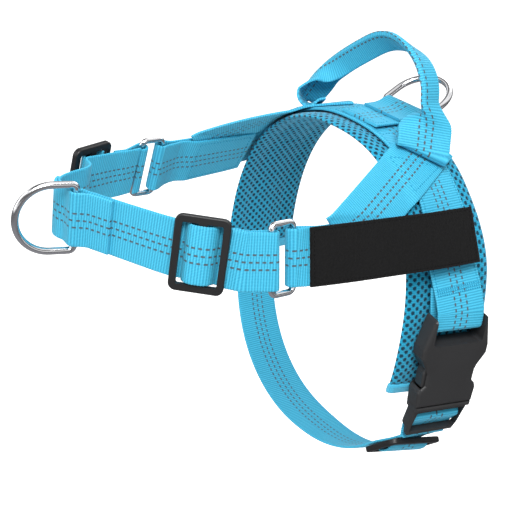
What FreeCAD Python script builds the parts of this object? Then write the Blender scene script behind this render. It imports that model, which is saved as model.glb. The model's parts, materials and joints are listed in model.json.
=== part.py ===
import math
import os
import FreeCAD
import Part
from FreeCAD import Vector

# No pull dog harness.  Millimetres.  +X towards the tail, -Y the dog's left, +Z up.
# Origin at the middle of the girth loop.  Straps follow the loop of the dog's body.

WEB_W = 38.0            # webbing width
WEB_T = 2.0             # webbing thickness
GAP = 0.3               # air left between two sewn layers
HALF_Y = 112.0          # girth loop: half width to the outside of the webbing
HALF_Z = 135.0          # girth loop: half height
SQUARE = 2.3            # girth loop: superellipse exponent
PAD_W = 67.0            # padded lining width
PAD_IN = 7.7            # inside of the pad, below the webbing's outside
TURN = 12.0             # degrees the left side of the girth faces forwards
BULGE = 12.9            # how far the webbing stands out to reach the buckle bar
RING_X = -136.0         # link ring centre
RING_Y = 82.0
RING_Z = 80.5
RING_LEAN = 12.0        # degrees the link rings lean in at the top
WIRE_R = 2.1            # link ring wire radius
LEAD_WIRE_R = 2.4       # lead ring wire radius
FRONT_X = -236.0        # chest strap, foremost point
CHEST_RISE = 4.0        # front of the chest strap above the link rings
GLIDE_L = 35.0          # strap adjuster, along the strap
GLIDE_W = 49.0          # strap adjuster, across the strap
GLIDE_T = 4.4           # strap adjuster, thickness
BUCKLE_Y = 118.2        # middle plane of the buckle, from the loop's centre
BUCKLE_T = 15.0         # buckle, front to back
SEAM_ANGLE = 262.0      # right side seam between girth webbing and belly strap
PAD_LEFT_END = 106.0    # pad's lower end on the left
HANDLE_CUT_R = 17.0     # the handle grip moves outside this radius of its hinge line
HANDLE_HINGE = Vector(-5, 0, 127)


# ---------------------------------------------------------------- small tools
def unit(v):
    return v * (1.0 / v.Length)


def smooth(value, start, end):
    t = min(max((value - start) / (end - start), 0.0), 1.0)
    return t * t * (3.0 - 2.0 * t)


def tangent(points, i):
    before = points[max(i - 1, 0)]
    after = points[min(i + 1, len(points) - 1)]
    return unit(after - before)


def band(points, across, width=WEB_W, thickness=WEB_T, ruled=True):
    """Strap solid along a row of centre points, with its width along the across vectors."""
    wires = []
    for i, point in enumerate(points):
        along = tangent(points, i)
        side = unit(across[i] - along * across[i].dot(along))
        normal = along.cross(side)
        w = width[i] if isinstance(width, list) else width
        t = thickness[i] if isinstance(thickness, list) else thickness
        half, skin = side * (w / 2.0), normal * (t / 2.0)
        corners = [point + half + skin, point - half + skin, point - half - skin, point + half - skin]
        wires.append(Part.makePolygon(corners + corners[:1]))
    return Part.makeLoft(wires, True, ruled)


def quilt_solid(top, bottom):
    """Solid between two grids of points, faced with triangles so that it may curve both ways."""
    faces = []

    def quad(a, b, c, d):
        for corners in ((a, b, c), (a, c, d)):
            faces.append(Part.Face(Part.makePolygon(list(corners) + [corners[0]])))

    rows, cols = len(top), len(top[0])
    for i in range(rows - 1):
        for j in range(cols - 1):
            quad(top[i][j], top[i + 1][j], top[i + 1][j + 1], top[i][j + 1])
            quad(bottom[i][j], bottom[i][j + 1], bottom[i + 1][j + 1], bottom[i + 1][j])
        for j in (0, cols - 1):
            quad(top[i][j], bottom[i][j], bottom[i + 1][j], top[i + 1][j])
    for i in (0, rows - 1):
        for j in range(cols - 1):
            quad(top[i][j], top[i][j + 1], bottom[i][j + 1], bottom[i][j])
    shell = Part.makeShell(faces)
    shell.sewShape()
    solid = Part.makeSolid(shell)
    if solid.Volume < 0:
        solid.reverse()
    return solid


def shifted(points, across, distance):
    """The same row of points moved along the strap's normal."""
    out = []
    for i, point in enumerate(points):
        along = tangent(points, i)
        side = unit(across[i] - along * across[i].dot(along))
        out.append(point + along.cross(side) * distance)
    return out


def curve_points(controls, count):
    """Evenly spaced points on a smooth curve through the control points."""
    curve = Part.BSplineCurve()
    curve.interpolate(controls)
    return Part.Wire(curve.toShape()).discretize(Number=count)


def mirrored(shape):
    return shape.mirror(Vector(0, 0, 0), Vector(0, 1, 0))


def placed(shape, origin, x_axis, y_axis, z_axis):
    """Move a shape from the drawing axes to a frame given by three unit vectors."""
    matrix = FreeCAD.Matrix(
        x_axis.x, y_axis.x, z_axis.x, origin.x,
        x_axis.y, y_axis.y, z_axis.y, origin.y,
        x_axis.z, y_axis.z, z_axis.z, origin.z,
        0, 0, 0, 1)
    out = shape.copy()
    out.transformShape(matrix, True)
    return out


def export(name, shape):
    solids = shape.Solids
    body = solids[0] if len(solids) == 1 else shape
    body.exportStep("parts/%s.step" % name)


# ---------------------------------------------------------------- girth loop shape
def girth_point(theta, offset=0.0):
    """Point and outward normal of the loop; theta from the top towards the left side."""
    a = math.radians(theta)
    s, c = math.sin(a), math.cos(a)
    r = (abs(s / HALF_Y) ** SQUARE + abs(c / HALF_Z) ** SQUARE) ** (-1.0 / SQUARE)
    y, z = -r * s, r * c
    slope_y = math.copysign(abs(y / HALF_Y) ** (SQUARE - 1) / HALF_Y, y)
    slope_z = math.copysign(abs(z / HALF_Z) ** (SQUARE - 1) / HALF_Z, z)
    normal = unit(Vector(0, slope_y, slope_z))
    return Vector(0, y, z) + normal * offset, normal


def girth_across(theta, normal):
    """Width direction of the girth webbing, turned a little on the left side."""
    theta = theta % 360.0
    turn = math.radians(TURN * smooth(theta, 35, 65) * (1 - smooth(theta, 150, 190)))
    return Vector(1, 0, 0) * math.cos(turn) + normal * math.sin(turn)


def girth_bulge(theta):
    theta = theta % 360.0
    return BULGE * smooth(theta, 55, 80) * (1 - smooth(theta, 82, 110))


def angles(start, end, step):
    count = max(2, int(round(abs(end - start) / step)) + 1)
    return [start + (end - start) * i / (count - 1) for i in range(count)]


def girth_band(start, end, offset, width, thickness, bulged=False, step=4.0):
    points, across = [], []
    for theta in angles(start, end, step):
        extra = girth_bulge(theta) if bulged else 0.0
        point, normal = girth_point(theta, offset + extra)
        points.append(point)
        across.append(girth_across(theta, normal))
    return points, across, width, thickness


# ---------------------------------------------------------------- buckle frame
TURN_RAD = math.radians(TURN)
BUCKLE_AT = Vector(0, -BUCKLE_Y, 0)
BUCKLE_W = Vector(math.cos(TURN_RAD), -math.sin(TURN_RAD), 0)
BUCKLE_N = Vector(-math.sin(TURN_RAD), -math.cos(TURN_RAD), 0)
UP = Vector(0, 0, 1)
BAR_R = 2.4             # webbing bars of the buckle
SOCKET_BAR_Z = 22.0
SOCKET_TOP_Z = 30.0
SOCKET_BODY_Z = 8.0     # top of the closed part of the socket
SPLIT_Z = -41.0         # mouth of the socket
PLUG_BAR_Z = -54.5
PLUG_END_Z = -71.0
PLUG_LEAN = 16.0        # the plug's frame leans in below the mouth
LEAN_AT = Vector(0, 0, -44.0)
ARM_ROOT_X = 16.6       # hinge line of a spring arm
ARM_ROOT_Z = -34.6
ARM_ROOT_R = 1.8
SOCKET_HALF = 27.0
MOUTH_HALF = 23.5
WALL = 1.8


def in_buckle(shape):
    return placed(shape, BUCKLE_AT, BUCKLE_W, BUCKLE_N, UP)


def outline_plate(points, thickness, fillet):
    """Plate from an outline in the buckle's width-height plane, edges rounded."""
    wire = Part.makePolygon([Vector(x, -thickness / 2, z) for x, z in points + points[:1]])
    plate = Part.Face(wire).extrude(Vector(0, thickness, 0))
    if fillet:
        rims = [e for e in plate.Edges
                if abs(e.Vertexes[0].Y - e.Vertexes[1].Y) < 1e-6]
        plate = plate.makeFillet(fillet, rims)
    return plate


def box(x, y, z, cx=0.0, cy=0.0, cz=0.0):
    return Part.makeBox(x, y, z, Vector(cx - x / 2, cy - y / 2, cz - z / 2))


def rounded_box(x, y, z, radius, cx=0.0, cy=0.0, cz=0.0, axis="y"):
    shape = box(x, y, z, cx, cy, cz)
    pick = {"x": lambda v: v.x, "y": lambda v: v.y, "z": lambda v: v.z}[axis]
    edges = [e for e in shape.Edges
             if abs(pick(e.Vertexes[0].Point) - pick(e.Vertexes[1].Point)) > 1e-6]
    return shape.makeFillet(radius, edges)


def mirror_outline(right_side):
    left_side = [(-x, z) for x, z in reversed(right_side) if x > 1e-6]
    return right_side + left_side


def buckle_socket():
    right = [(19.5, SOCKET_TOP_Z), (22.0, SOCKET_TOP_Z - 2), (SOCKET_HALF, 6), (SOCKET_HALF, -1),
             (21.5, -10), (20.0, -14), (20.0, -23), (23.0, -26), (24.2, -29), (MOUTH_HALF, SPLIT_Z)]
    body = outline_plate(mirror_outline(right), BUCKLE_T, 2.4)
    body = body.cut(rounded_box(40.6, 40, 24, 2.5, cz=SOCKET_BODY_Z + 12.0 + 1.0))
    bar = Part.makeCylinder(BAR_R, 44, Vector(-22, 0, SOCKET_BAR_Z), Vector(1, 0, 0))
    body = body.fuse(bar)
    cavity_half = MOUTH_HALF - WALL + 0.4
    depth = 38.0
    cavity = box(2 * cavity_half, BUCKLE_T - 2 * WALL, depth + 2, cz=SPLIT_Z + depth / 2 - 1)
    body = body.cut(cavity)
    for side in (-1, 1):
        body = body.cut(rounded_box(12, BUCKLE_T - 2 * WALL, 17, 2.0, cx=side * 23.5, cz=-17.5))
    return body.removeSplitter()


def plug_frame():
    """Plug: base filling the mouth, guide tongue, and the leaning frame with its bar."""
    base = outline_plate(mirror_outline([(23.2, SPLIT_Z - 0.4), (22.8, -45.0)]), BUCKLE_T - 0.6, 1.6)
    tongue = box(10, 4.0, 30, cz=SPLIT_Z + 14.0)
    shoulder = box(38, 7.0, 7.0, cz=SPLIT_Z + 2.4)
    for side in (-1, 1):
        seat_end = Vector(side * ARM_ROOT_X, -10, ARM_ROOT_Z)
        shoulder = shoulder.cut(Part.makeCylinder(ARM_ROOT_R + 0.06, 20, seat_end, Vector(0, 1, 0)))
    frame = outline_plate(mirror_outline([(22.8, -42.5), (21.6, -63.0), (19.6, PLUG_END_Z)]), 11.0, 2.6)
    window = rounded_box(39.6, 30, 20.6, 1.0, cz=-55.8)
    bar = Part.makeCylinder(BAR_R, 41, Vector(-20.5, 0, PLUG_BAR_Z), Vector(1, 0, 0))
    behind_rail = box(60, 20, 20, cy=-10.0, cz=-74.0)
    frame = frame.cut([window, behind_rail]).fuse(bar)
    frame.rotate(LEAN_AT, Vector(1, 0, 0), -PLUG_LEAN)
    below = box(80, 80, 60, cz=SPLIT_Z - 0.4 - 30)
    frame = frame.common(below)
    plug = base.fuse([tongue, shoulder, frame])
    return plug.removeSplitter()


def plug_arm():
    """Right hand spring arm with the press pad that shows in the socket's side opening."""
    stem = outline_plate([(18.2, ARM_ROOT_Z), (18.0, -24.0), (14.8, -24.0), (15.0, ARM_ROOT_Z)], 4.6, 0)
    pad_points = [(18.0, -26.4), (21.6, -24.8), (22.0, -14.0), (19.0, -6.5), (15.6, -5.5),
                  (14.6, -9.0), (14.6, -26.4)]
    pad = outline_plate(pad_points, 9.6, 1.4)
    root = Part.makeCylinder(ARM_ROOT_R, 4.6, Vector(ARM_ROOT_X, -2.3, ARM_ROOT_Z), Vector(0, 1, 0))
    return pad.fuse([stem, root]).removeSplitter()


# ---------------------------------------------------------------- soft parts of the girth
def wrap_points(bar, outward, up, radius, start_deg, end_deg, count):
    """Arc round a bar in the plane of outward and up; 0 degrees is outward, 90 is down."""
    out = []
    for i in range(count):
        a = math.radians(start_deg + (end_deg - start_deg) * i / (count - 1))
        out.append(bar + outward * (radius * math.cos(a)) - up * (radius * math.sin(a)))
    return out


def girth_webbing():
    points, across, _, _ = girth_band(-98, 76, -WEB_T / 2, 0, 0, bulged=True)
    bar = BUCKLE_AT + UP * SOCKET_BAR_Z
    loop_r = BAR_R + GAP + WEB_T / 2
    loop = wrap_points(bar, BUCKLE_N, UP, loop_r, 0, 180, 13)
    points += loop
    across += [BUCKLE_W] * len(loop)
    tail_top, normal = girth_point(66, girth_bulge(66) - 1.5 * WEB_T - GAP)
    inner = loop[-1]
    for i in range(1, 5):
        points.append(inner + (tail_top - inner) * (i / 4.0))
        across.append(BUCKLE_W)
    return band(points, across)


def girth_pad():
    return band(*girth_band(-97, PAD_LEFT_END, -WEB_T - GAP - (PAD_IN - WEB_T - GAP) / 2,
                            PAD_W, PAD_IN - WEB_T - GAP))


def pad_binding(start, end):
    return band(*girth_band(start, end, -WEB_T - GAP - (PAD_IN - WEB_T - GAP) / 2,
                            PAD_W + 0.6, PAD_IN - WEB_T - GAP, step=3.0))


# ---------------------------------------------------------------- side straps and patches
def lean(degrees, side=-1):
    """Width direction of an upright strap whose top leans towards the dog."""
    a = math.radians(degrees)
    return Vector(0, -side * math.sin(a), math.cos(a))


SIDE_STATIONS = [(-126.0, 83.8, 80.4, 12.0), (-118.0, 86.3, 80.5, 16.0), (-85.0, 91.0, 80.3, 21.0),
                 (-52.0, 94.8, 80.2, 24.0), (-19.0, 99.6, 80.6, 27.0), (17.0, 103.6, 81.4, 30.0)]
RING_BARS = 8.6         # half distance between the two bars of a link ring
LOOP_CLEAR = 0.8        # play of a webbing loop round a ring bar


def side_station(x):
    """Centre and lean of the left side strap at one place along the dog."""
    xs = [station[0] for station in SIDE_STATIONS]
    x = min(max(x, xs[0]), xs[-1])
    j = max(k for k in range(len(xs) - 1) if xs[k] <= x + 1e-9)
    t = (x - xs[j]) / (xs[j + 1] - xs[j])
    low, high = SIDE_STATIONS[j], SIDE_STATIONS[j + 1]
    y, z, tilt = [low[k] * (1 - t) + high[k] * t for k in (1, 2, 3)]
    return y, z, tilt


def side_path(offset, first_x, last_x, count):
    """Left side strap's centre line, moved outwards by offset, and its width directions."""
    points, across = [], []
    for i in range(count):
        x = first_x + (last_x - first_x) * i / (count - 1)
        y, z, tilt = side_station(x)
        points.append(Vector(x, -y, z))
        across.append(lean(tilt))
    return shifted(points, across, offset), across


def ring_bar(end):
    """Middle of a link ring bar: end is -1 for the front bar, 1 for the rear bar (left side)."""
    return Vector(RING_X + end * RING_BARS, -RING_Y, RING_Z)


def bar_loop(bar, end, inner_first, count=13):
    """Half turn of webbing round a link ring bar; end is -1 or 1, the side it pulls to."""
    up = lean(RING_LEAN)
    outward = Vector(0, -up.z, up.y)
    radius = WIRE_R + LOOP_CLEAR + WEB_T / 2
    points = []
    for i in range(count):
        a = math.radians(-90 + 180.0 * i / (count - 1))
        points.append(bar + outward * (radius * math.sin(a)) - Vector(end * radius * math.cos(a), 0, 0))
    return points if inner_first else points[::-1]


def side_strap():
    """Webbing looped round the rear ring bar; both layers run back together."""
    loop = bar_loop(ring_bar(1), 1, True)
    outer, up_outer = side_path(0.0, -119.0, 16.0, 24)
    inner, up_inner = side_path(-WEB_T - GAP, -112.0, -96.0, 5)
    points = inner[::-1] + loop + outer
    across = up_inner[::-1] + [lean(RING_LEAN)] * len(loop) + up_outer
    return band(points, across)


def patch():
    points, across = side_path(WEB_T / 2 + GAP + 1.0, -118.0, 15.0, 24)
    return band(points, across, 38.5, 2.0)


# ---------------------------------------------------------------- shoulder straps
def arc_length_table():
    table = [(0.0, 0.0)]
    last, _ = girth_point(0)
    total = 0.0
    for i in range(1, 181):
        theta = i * 0.5
        point, _ = girth_point(theta)
        total += (point - last).Length
        table.append((total, theta))
        last = point
    return table


ARC = arc_length_table()


def theta_at(distance):
    for (s0, t0), (s1, t1) in zip(ARC[:-1], ARC[1:]):
        if s1 >= distance:
            return t0 + (t1 - t0) * (distance - s0) / (s1 - s0)
    return ARC[-1][1]


SHOULDER_SLOPE = 29.0   # degrees from the dog's length, measured on the loop's surface
PAD_FLARE = 0.9         # extra lift over the part of the girth that is turned
SHOULDER_CROSS = 56.5   # distance down from the spine where it crosses the loop's mid-line


def shoulder_grid(u, v, lift):
    """u along the strap from the crossing (towards the tail positive), v across it."""
    a = math.radians(SHOULDER_SLOPE)
    x = u * math.cos(a) + v * math.sin(a) - 1.3
    distance = SHOULDER_CROSS - u * math.sin(a) + v * math.cos(a)
    theta = theta_at(distance)
    sink = 1.9 * smooth(-x, 20.5, 33.0)
    lift_here = lift - sink + PAD_FLARE * smooth(theta, 34, 46) * smooth(x, -20.5, -8.0)
    point, _ = girth_point(theta, lift_here)
    point.x = x
    y, z, tilt = side_station(x)
    depth = WEB_T / 2 + 2 * GAP + (GAP + WEB_T - lift)
    under = -y + (point.z - z) * math.tan(math.radians(tilt)) + depth / math.cos(math.radians(tilt))
    if point.z < z + WEB_W / 2 and x < -34.0:
        point.y = max(point.y, under)
    return point


def shoulder_strap():
    """Strap bent both ways, so that it lies on the girth and tucks under the side strap."""
    along = [-96.0 + 118.0 * i / 27.0 for i in range(28)]
    across = [-WEB_W / 2 + WEB_W * k / 6.0 for k in range(7)]
    top = [[shoulder_grid(u, v, GAP + WEB_T) for v in across] for u in along]
    bottom = [[shoulder_grid(u, v, GAP) for v in across] for u in along]
    return quilt_solid(top, bottom)


# ---------------------------------------------------------------- handle
LEFT_END = (-1.0, 17.5, 2.6)        # fold along the shoulder strap, skew in degrees, bend radius
RIGHT_END = (-7.0, 0.0, 5.0)


def handle_end(fold_u, skew, bend_r):
    """Turned under end on the left shoulder strap: centre points and width direction."""
    lift = GAP + WEB_T
    a = math.radians(skew)
    fold = shoulder_grid(fold_u, 0, lift)
    back = unit(shoulder_grid(fold_u + 2 * math.cos(a), -2 * math.sin(a), lift) - fold)
    across = shoulder_grid(fold_u + 2 * math.sin(a), 2 * math.cos(a), lift) - fold
    across = unit(across - back * across.dot(back))
    outward = unit(back.cross(across))
    if outward.z < 0:
        outward = outward * -1.0
    lift = GAP + WEB_T / 2 + 0.2
    centre = fold + outward * (lift + bend_r)
    points = [fold + outward * lift + back * (20.0 - 5.0 * i) for i in range(4)]
    for degrees in range(0, 136, 15):
        a = math.radians(degrees)
        points.append(centre - back * (bend_r * math.sin(a)) - outward * (bend_r * math.cos(a)))
    return points, across


def handle_path():
    """Centre line, long side, width and thickness of the whole handle from left to right."""
    left, across = handle_end(*LEFT_END)
    right, far_across = handle_end(*RIGHT_END)
    right = [Vector(p.x, -p.y, p.z) for p in reversed(right)]
    far_across = Vector(far_across.x, -far_across.y, far_across.z)
    middle = curve_points([left[-1], Vector(3, -52, 146), Vector(6, -49, 158), Vector(7, -44, 173),
                           Vector(7, -32, 185.5), Vector(7, -14, 191), Vector(7, 5, 188),
                           Vector(7, 27, 173.5), Vector(5, 46, 158), Vector(1, 60, 147), right[0]], 37)
    points = left + middle[1:-1] + right
    first, last = len(left) - 1, len(points) - len(right)
    long_side, widths, thick = [], [], []
    for i, point in enumerate(points):
        t = min(max((i - first) / float(last - first), 0.0), 1.0)
        folded = smooth(t, 0.03, 0.22) * (1 - smooth(t, 0.66, 0.88))
        along = tangent(points, i)
        out = unit(Vector(0, point.y, point.z - 120.0))
        roll = math.radians(8 + 60 * smooth(t, 0.3, 0.75))
        grip = Vector(math.cos(roll), 0, 0) - out * math.sin(roll)
        end = across if t < 0.5 else far_across
        side = end * (1 - folded) + grip * folded
        long_side.append(unit(side - along * side.dot(along)))
        widths.append(WEB_W * (1 - folded) + 19.0 * folded)
        thick.append(WEB_T * (1 - folded) + (2 * WEB_T + GAP) * folded)
    return points, long_side, widths, thick


def handle_parts():
    whole = band(*handle_path())
    inner = Part.makeCylinder(HANDLE_CUT_R, 400, HANDLE_HINGE + Vector(0, -200, 0), Vector(0, 1, 0))
    outer = Part.makeCylinder(HANDLE_CUT_R + 0.3, 400, HANDLE_HINGE + Vector(0, -200, 0), Vector(0, 1, 0))
    grip = max(whole.cut(outer).Solids, key=lambda s: s.Volume)
    ends = whole.common(inner).Solids
    left = max((s for s in ends if s.CenterOfMass.y < 0), key=lambda s: s.Volume)
    right = max((s for s in ends if s.CenterOfMass.y > 0), key=lambda s: s.Volume)
    return grip, left, right


# ---------------------------------------------------------------- rings
def wire_ring(edges, radius):
    """Round wire swept along a closed path whose first edge is straight."""
    path = Part.Wire(edges)
    first = edges[0]
    start = first.Vertexes[0].Point
    profile = Part.Wire(Part.makeCircle(radius, start, first.tangentAt(first.FirstParameter)))
    return path.makePipeShell([profile], True, True)


def link_ring():
    """Rounded oblong ring, drawn upright in the XZ plane and then leant in."""
    half_x, half_z, bend = RING_BARS, 22.9, 3.8
    k = bend * (1 - math.sqrt(0.5))
    corners = [(1, 1), (-1, 1), (-1, -1), (1, -1)]
    edges = []
    for i, (sx, sz) in enumerate(corners):
        nx, nz = corners[(i + 1) % 4]
        start_z, start_x = sz * half_z, sx * half_x
        if i % 2 == 0:
            a, b = Vector(sx * (half_x - bend), 0, start_z), Vector(nx * (half_x - bend), 0, start_z)
            c = Vector(nx * half_x, 0, sz * (half_z - bend))
        else:
            a, b = Vector(start_x, 0, sz * (half_z - bend)), Vector(start_x, 0, nz * (half_z - bend))
            c = Vector(sx * (half_x - bend), 0, nz * half_z)
        middle = Vector(nx * (half_x - k) if i % 2 == 0 else sx * (half_x - k), 0,
                        sz * (half_z - k) if i % 2 == 0 else nz * (half_z - k))
        edges += [Part.makeLine(a, b), Part.Arc(b, middle, c).toShape()]
    ring = wire_ring(edges, WIRE_R)
    up = lean(RING_LEAN)
    return placed(ring, Vector(RING_X, -RING_Y, RING_Z), Vector(1, 0, 0), Vector(0, up.z, -up.y), up)


LEAD_HALF = 22.75        # half height of a lead ring's bar side, to the wire's middle
FRONT_RING_TURN = 15.0  # degrees the front lead ring points away from straight ahead
LEAD_REACH = 38.0       # bar to the far side of the bow, to the wire's middle


def lead_ring(bar, bar_dir, reach_dir):
    """D-shaped ring: straight bar, small corners, then a round bow."""
    bend, leg = 3.4, LEAD_REACH - LEAD_HALF
    k = bend * (1 - math.sqrt(0.5))
    line = Part.makeLine(Vector(0, 0, -LEAD_HALF + bend), Vector(0, 0, LEAD_HALF - bend))
    top = Part.Arc(Vector(0, 0, LEAD_HALF - bend), Vector(k, 0, LEAD_HALF - k), Vector(bend, 0, LEAD_HALF))
    upper = Part.makeLine(Vector(bend, 0, LEAD_HALF), Vector(leg, 0, LEAD_HALF))
    bow = Part.Arc(Vector(leg, 0, LEAD_HALF), Vector(LEAD_REACH, 0, 0), Vector(leg, 0, -LEAD_HALF))
    lower = Part.makeLine(Vector(leg, 0, -LEAD_HALF), Vector(bend, 0, -LEAD_HALF))
    low_end = Vector(0, 0, -LEAD_HALF + bend)
    low = Part.Arc(Vector(bend, 0, -LEAD_HALF), Vector(k, 0, -LEAD_HALF + k), low_end)
    ring = wire_ring([line, top.toShape(), upper, bow.toShape(), lower, low.toShape()], LEAD_WIRE_R)
    return placed(ring, bar, reach_dir, bar_dir.cross(reach_dir), bar_dir)


# ---------------------------------------------------------------- chest strap
CHEST_START = (-149.0, -78.4)       # beside the front bar of the left link ring
CHEST_BEND = (-160.0, -75.6)
LEFT_STRAIGHT = ((-165.0, -71.2), (-196.0, -43.9))      # run under the left adjuster
NOSE = [(-210.0, -21.0), (-222.0, 1.0), (-229.0, 14.0), (-233.5, 21.5), (FRONT_X + 1.0, 27.0),
        (-233.0, 33.0), (-226.0, 38.5), (-213.0, 44.0), (-206.0, 47.5), (-201.5, 52.0),
        (-200.0, 57.5), (-199.2, 62.0)]
RIGHT_STRAIGHT = ((-196.0, 65.5), (-170.0, 73.9))       # run under the right adjuster
LOOP_RUN = (9.5, 22.5)              # outer layer, measured along the strap from its end
BAR_BEFORE_NOSE = 14.5              # front lead ring bar, along the strap before its foremost point
TAB_REACH = (26.0, 27.0)            # cover layer, each way from the bar


def flat_points(pairs):
    return [Vector(x, y, 0) for x, y in pairs]


def chest_plan():
    """The chest strap's centre line seen from above, from the left link ring to the right one."""
    left, right = flat_points(LEFT_STRAIGHT), flat_points(RIGHT_STRAIGHT)
    slope_left = unit(left[1] - left[0])
    slope_right = unit(right[1] - right[0])
    first = curve_points(flat_points([CHEST_START, CHEST_BEND]) + [left[0], left[0] + slope_left * 4], 8)
    nose = curve_points([left[1] - slope_left * 4, left[1]] + flat_points(NOSE)
                        + [right[0], right[0] + slope_right * 4], 60)
    end = [Vector(x, -y, 0) for x, y in (CHEST_BEND, CHEST_START)]
    last = curve_points([right[1] - slope_right * 4, right[1]] + end, 8)
    line_left = [left[0] + (left[1] - left[0]) * (k / 5.0) for k in range(1, 5)]
    line_right = [right[0] + (right[1] - right[0]) * (k / 5.0) for k in range(2, 4)]
    return first + line_left[1:-1] + nose + line_right + last


def lengths_along(plan):
    total, out = 0.0, [0.0]
    for a, b in zip(plan[:-1], plan[1:]):
        total += (b - a).Length
        out.append(total)
    return out


def chest_height(x):
    t = (RING_X - RING_BARS - x) / (RING_X - RING_BARS - FRONT_X)
    return RING_Z + CHEST_RISE * smooth(t, 0.0, 1.0)


def chest_lean(x):
    return RING_LEAN * (1 - smooth(-x, 150, 230))


def chest_run(offset=0.0, start=0.0, end=1000.0):
    """Stretch of the chest strap between two lengths from its left end, moved outwards by offset."""
    plan = chest_plan()
    points, across = [], []
    for i, (flat, length) in enumerate(zip(plan, lengths_along(plan))):
        along = tangent(plan, i)
        out = Vector(-along.y, along.x, 0)
        if start <= length <= end:
            points.append(Vector(flat.x, flat.y, chest_height(flat.x)) + out * offset)
            across.append(unit(UP - out * math.sin(math.radians(chest_lean(flat.x)))))
    return points, across


def chest_strap():
    points, across = chest_run()
    return band(points, across)


def chest_loop(side):
    """Outer layer from an adjuster, round the front ring bar, to meet the strap's end."""
    total = lengths_along(chest_plan())[-1]
    loop = bar_loop(ring_bar(-1), -1, True)
    loop = [loop[0] + Vector(-2.4, 0, 0)] + loop
    start, end = LOOP_RUN
    if side == "left":
        outer, up_outer = chest_run(WEB_T + 2 * GAP, start, end)
        return band(loop + outer, [lean(RING_LEAN)] * len(loop) + up_outer)
    outer, up_outer = chest_run(WEB_T + 2 * GAP, total - end, total - start)
    loop = [Vector(p.x, -p.y, p.z) for p in loop]
    return band(loop + outer[::-1], [lean(RING_LEAN, 1)] * len(loop) + up_outer[::-1])


def glide_plate():
    """Three-bar slide in its own axes: X along the strap, Y across it, Z outwards from 0."""
    plate = rounded_box(GLIDE_L, GLIDE_W, GLIDE_T, 5.0, cz=GLIDE_T / 2, axis="z")
    plate = plate.makeFillet(1.1, [e for e in plate.Edges if abs(e.BoundBox.ZLength) < 1e-6])
    slot_l, bar_l = 10.6, 4.6
    for side in (-1, 1):
        centre = side * (bar_l + slot_l) / 2
        plate = plate.cut(rounded_box(slot_l, WEB_W + 1.6, 20, 1.2, cx=centre, axis="z"))
    return plate


def glide_wrap():
    """Webbing that comes up through one slot, over the middle bar and down the other."""
    top = GLIDE_T + GAP + WEB_T / 2
    profile = [(-6.9, WEB_T / 2 + GAP), (-5.4, top * 0.45), (-3.9, top * 0.9), (-1.8, top), (1.8, top),
               (3.9, top * 0.9), (5.4, top * 0.45), (6.9, WEB_T / 2 + GAP)]
    points = [Vector(x, 0, z) for x, z in profile]
    return band(points, [Vector(0, 1, 0)] * len(points), WEB_W, 1.6)


def chest_frame(straight, share):
    """Middle of a chest adjuster on the strap's outer side, and its axes."""
    first, last = flat_points(straight)
    forward = unit(last - first)
    flat_out = Vector(-forward.y, forward.x, 0)
    place = first + (last - first) * share
    tilt = math.sin(math.radians(chest_lean(place.x + 8)))
    up = unit(UP - flat_out * tilt)
    out = unit(flat_out + UP * tilt)
    origin = Vector(place.x, place.y, chest_height(place.x)) + out * (1.5 * WEB_T + 3 * GAP)
    return origin, up.cross(out), up, out


def bar_station():
    """Place of the front lead ring's bar: length along the strap, point, along and outward."""
    plan = chest_plan()
    lengths = lengths_along(plan)
    foremost = min(range(len(plan)), key=lambda i: plan[i].x)
    wanted = lengths[foremost] - BAR_BEFORE_NOSE
    i = min(range(len(plan)), key=lambda k: abs(lengths[k] - wanted))
    along = tangent(plan, i)
    out = Vector(-along.y, along.x, 0)
    point = Vector(plan[i].x, plan[i].y, chest_height(plan[i].x))
    return lengths[i], point + out * (WEB_T / 2 + 0.5 + LEAD_WIRE_R), along, out


def front_tab():
    """Cover layer sewn outside the front of the chest strap, humped over the lead ring's bar."""
    length, bar, along, out = bar_station()
    radius = LEAD_WIRE_R + 0.5 + WEB_T / 2
    before, up_before = chest_run(WEB_T + GAP, length - TAB_REACH[0], length - 7.5)
    after, up_after = chest_run(WEB_T + GAP, length + 7.5, length + TAB_REACH[1])
    hump = []
    for degrees in (-52, -35, -17, 0, 17, 35, 52):
        a = math.radians(degrees)
        hump.append(bar + out * (radius * math.cos(a)) + along * (radius * math.sin(a)))
    return band(before + hump + after, up_before + [UP] * len(hump) + up_after)


# ---------------------------------------------------------------- back ring and tab
BACK_BAR = Vector(28.0, -5.0, 139.4)
BACK_LEAN = 30.0        # degrees the back ring stands above level


def back_tab():
    """Loop of webbing sewn on the top of the girth that holds the back ring's bar."""
    radius = LEAD_WIRE_R + 0.5 + WEB_T / 2
    surface = HALF_Z + GAP + WEB_T / 2
    bar = BACK_BAR
    points = [Vector(-16, bar.y, surface), Vector(-8, bar.y, surface), Vector(6, bar.y, surface),
              Vector(bar.x - 9, bar.y, surface), Vector(bar.x - 3.5, bar.y, bar.z - radius + 0.3)]
    for k in range(12):
        a = math.radians(-75 + 200.0 * k / 11)
        points.append(bar + Vector(radius * math.cos(a), 0, radius * math.sin(a)))
    upper = surface + WEB_T + GAP
    points += [Vector(bar.x - 8.5, bar.y, upper + 0.9), Vector(bar.x - 14.0, bar.y, upper),
               Vector(bar.x - 23.0, bar.y, upper)]
    return band(points, [Vector(0, 1, 0)] * len(points))


# ---------------------------------------------------------------- belly strap
def plug_bar_point():
    bar = Vector(0, 0, PLUG_BAR_Z)
    turned = LEAN_AT + FreeCAD.Rotation(Vector(1, 0, 0), -PLUG_LEAN).multVec(bar - LEAN_AT)
    return BUCKLE_AT + BUCKLE_W * turned.x + BUCKLE_N * turned.y + UP * turned.z


def plug_axes():
    a = math.radians(PLUG_LEAN)
    down = UP * -math.cos(a) - BUCKLE_N * math.sin(a)
    out = BUCKLE_N * math.cos(a) - UP * math.sin(a)
    return down, out


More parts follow.
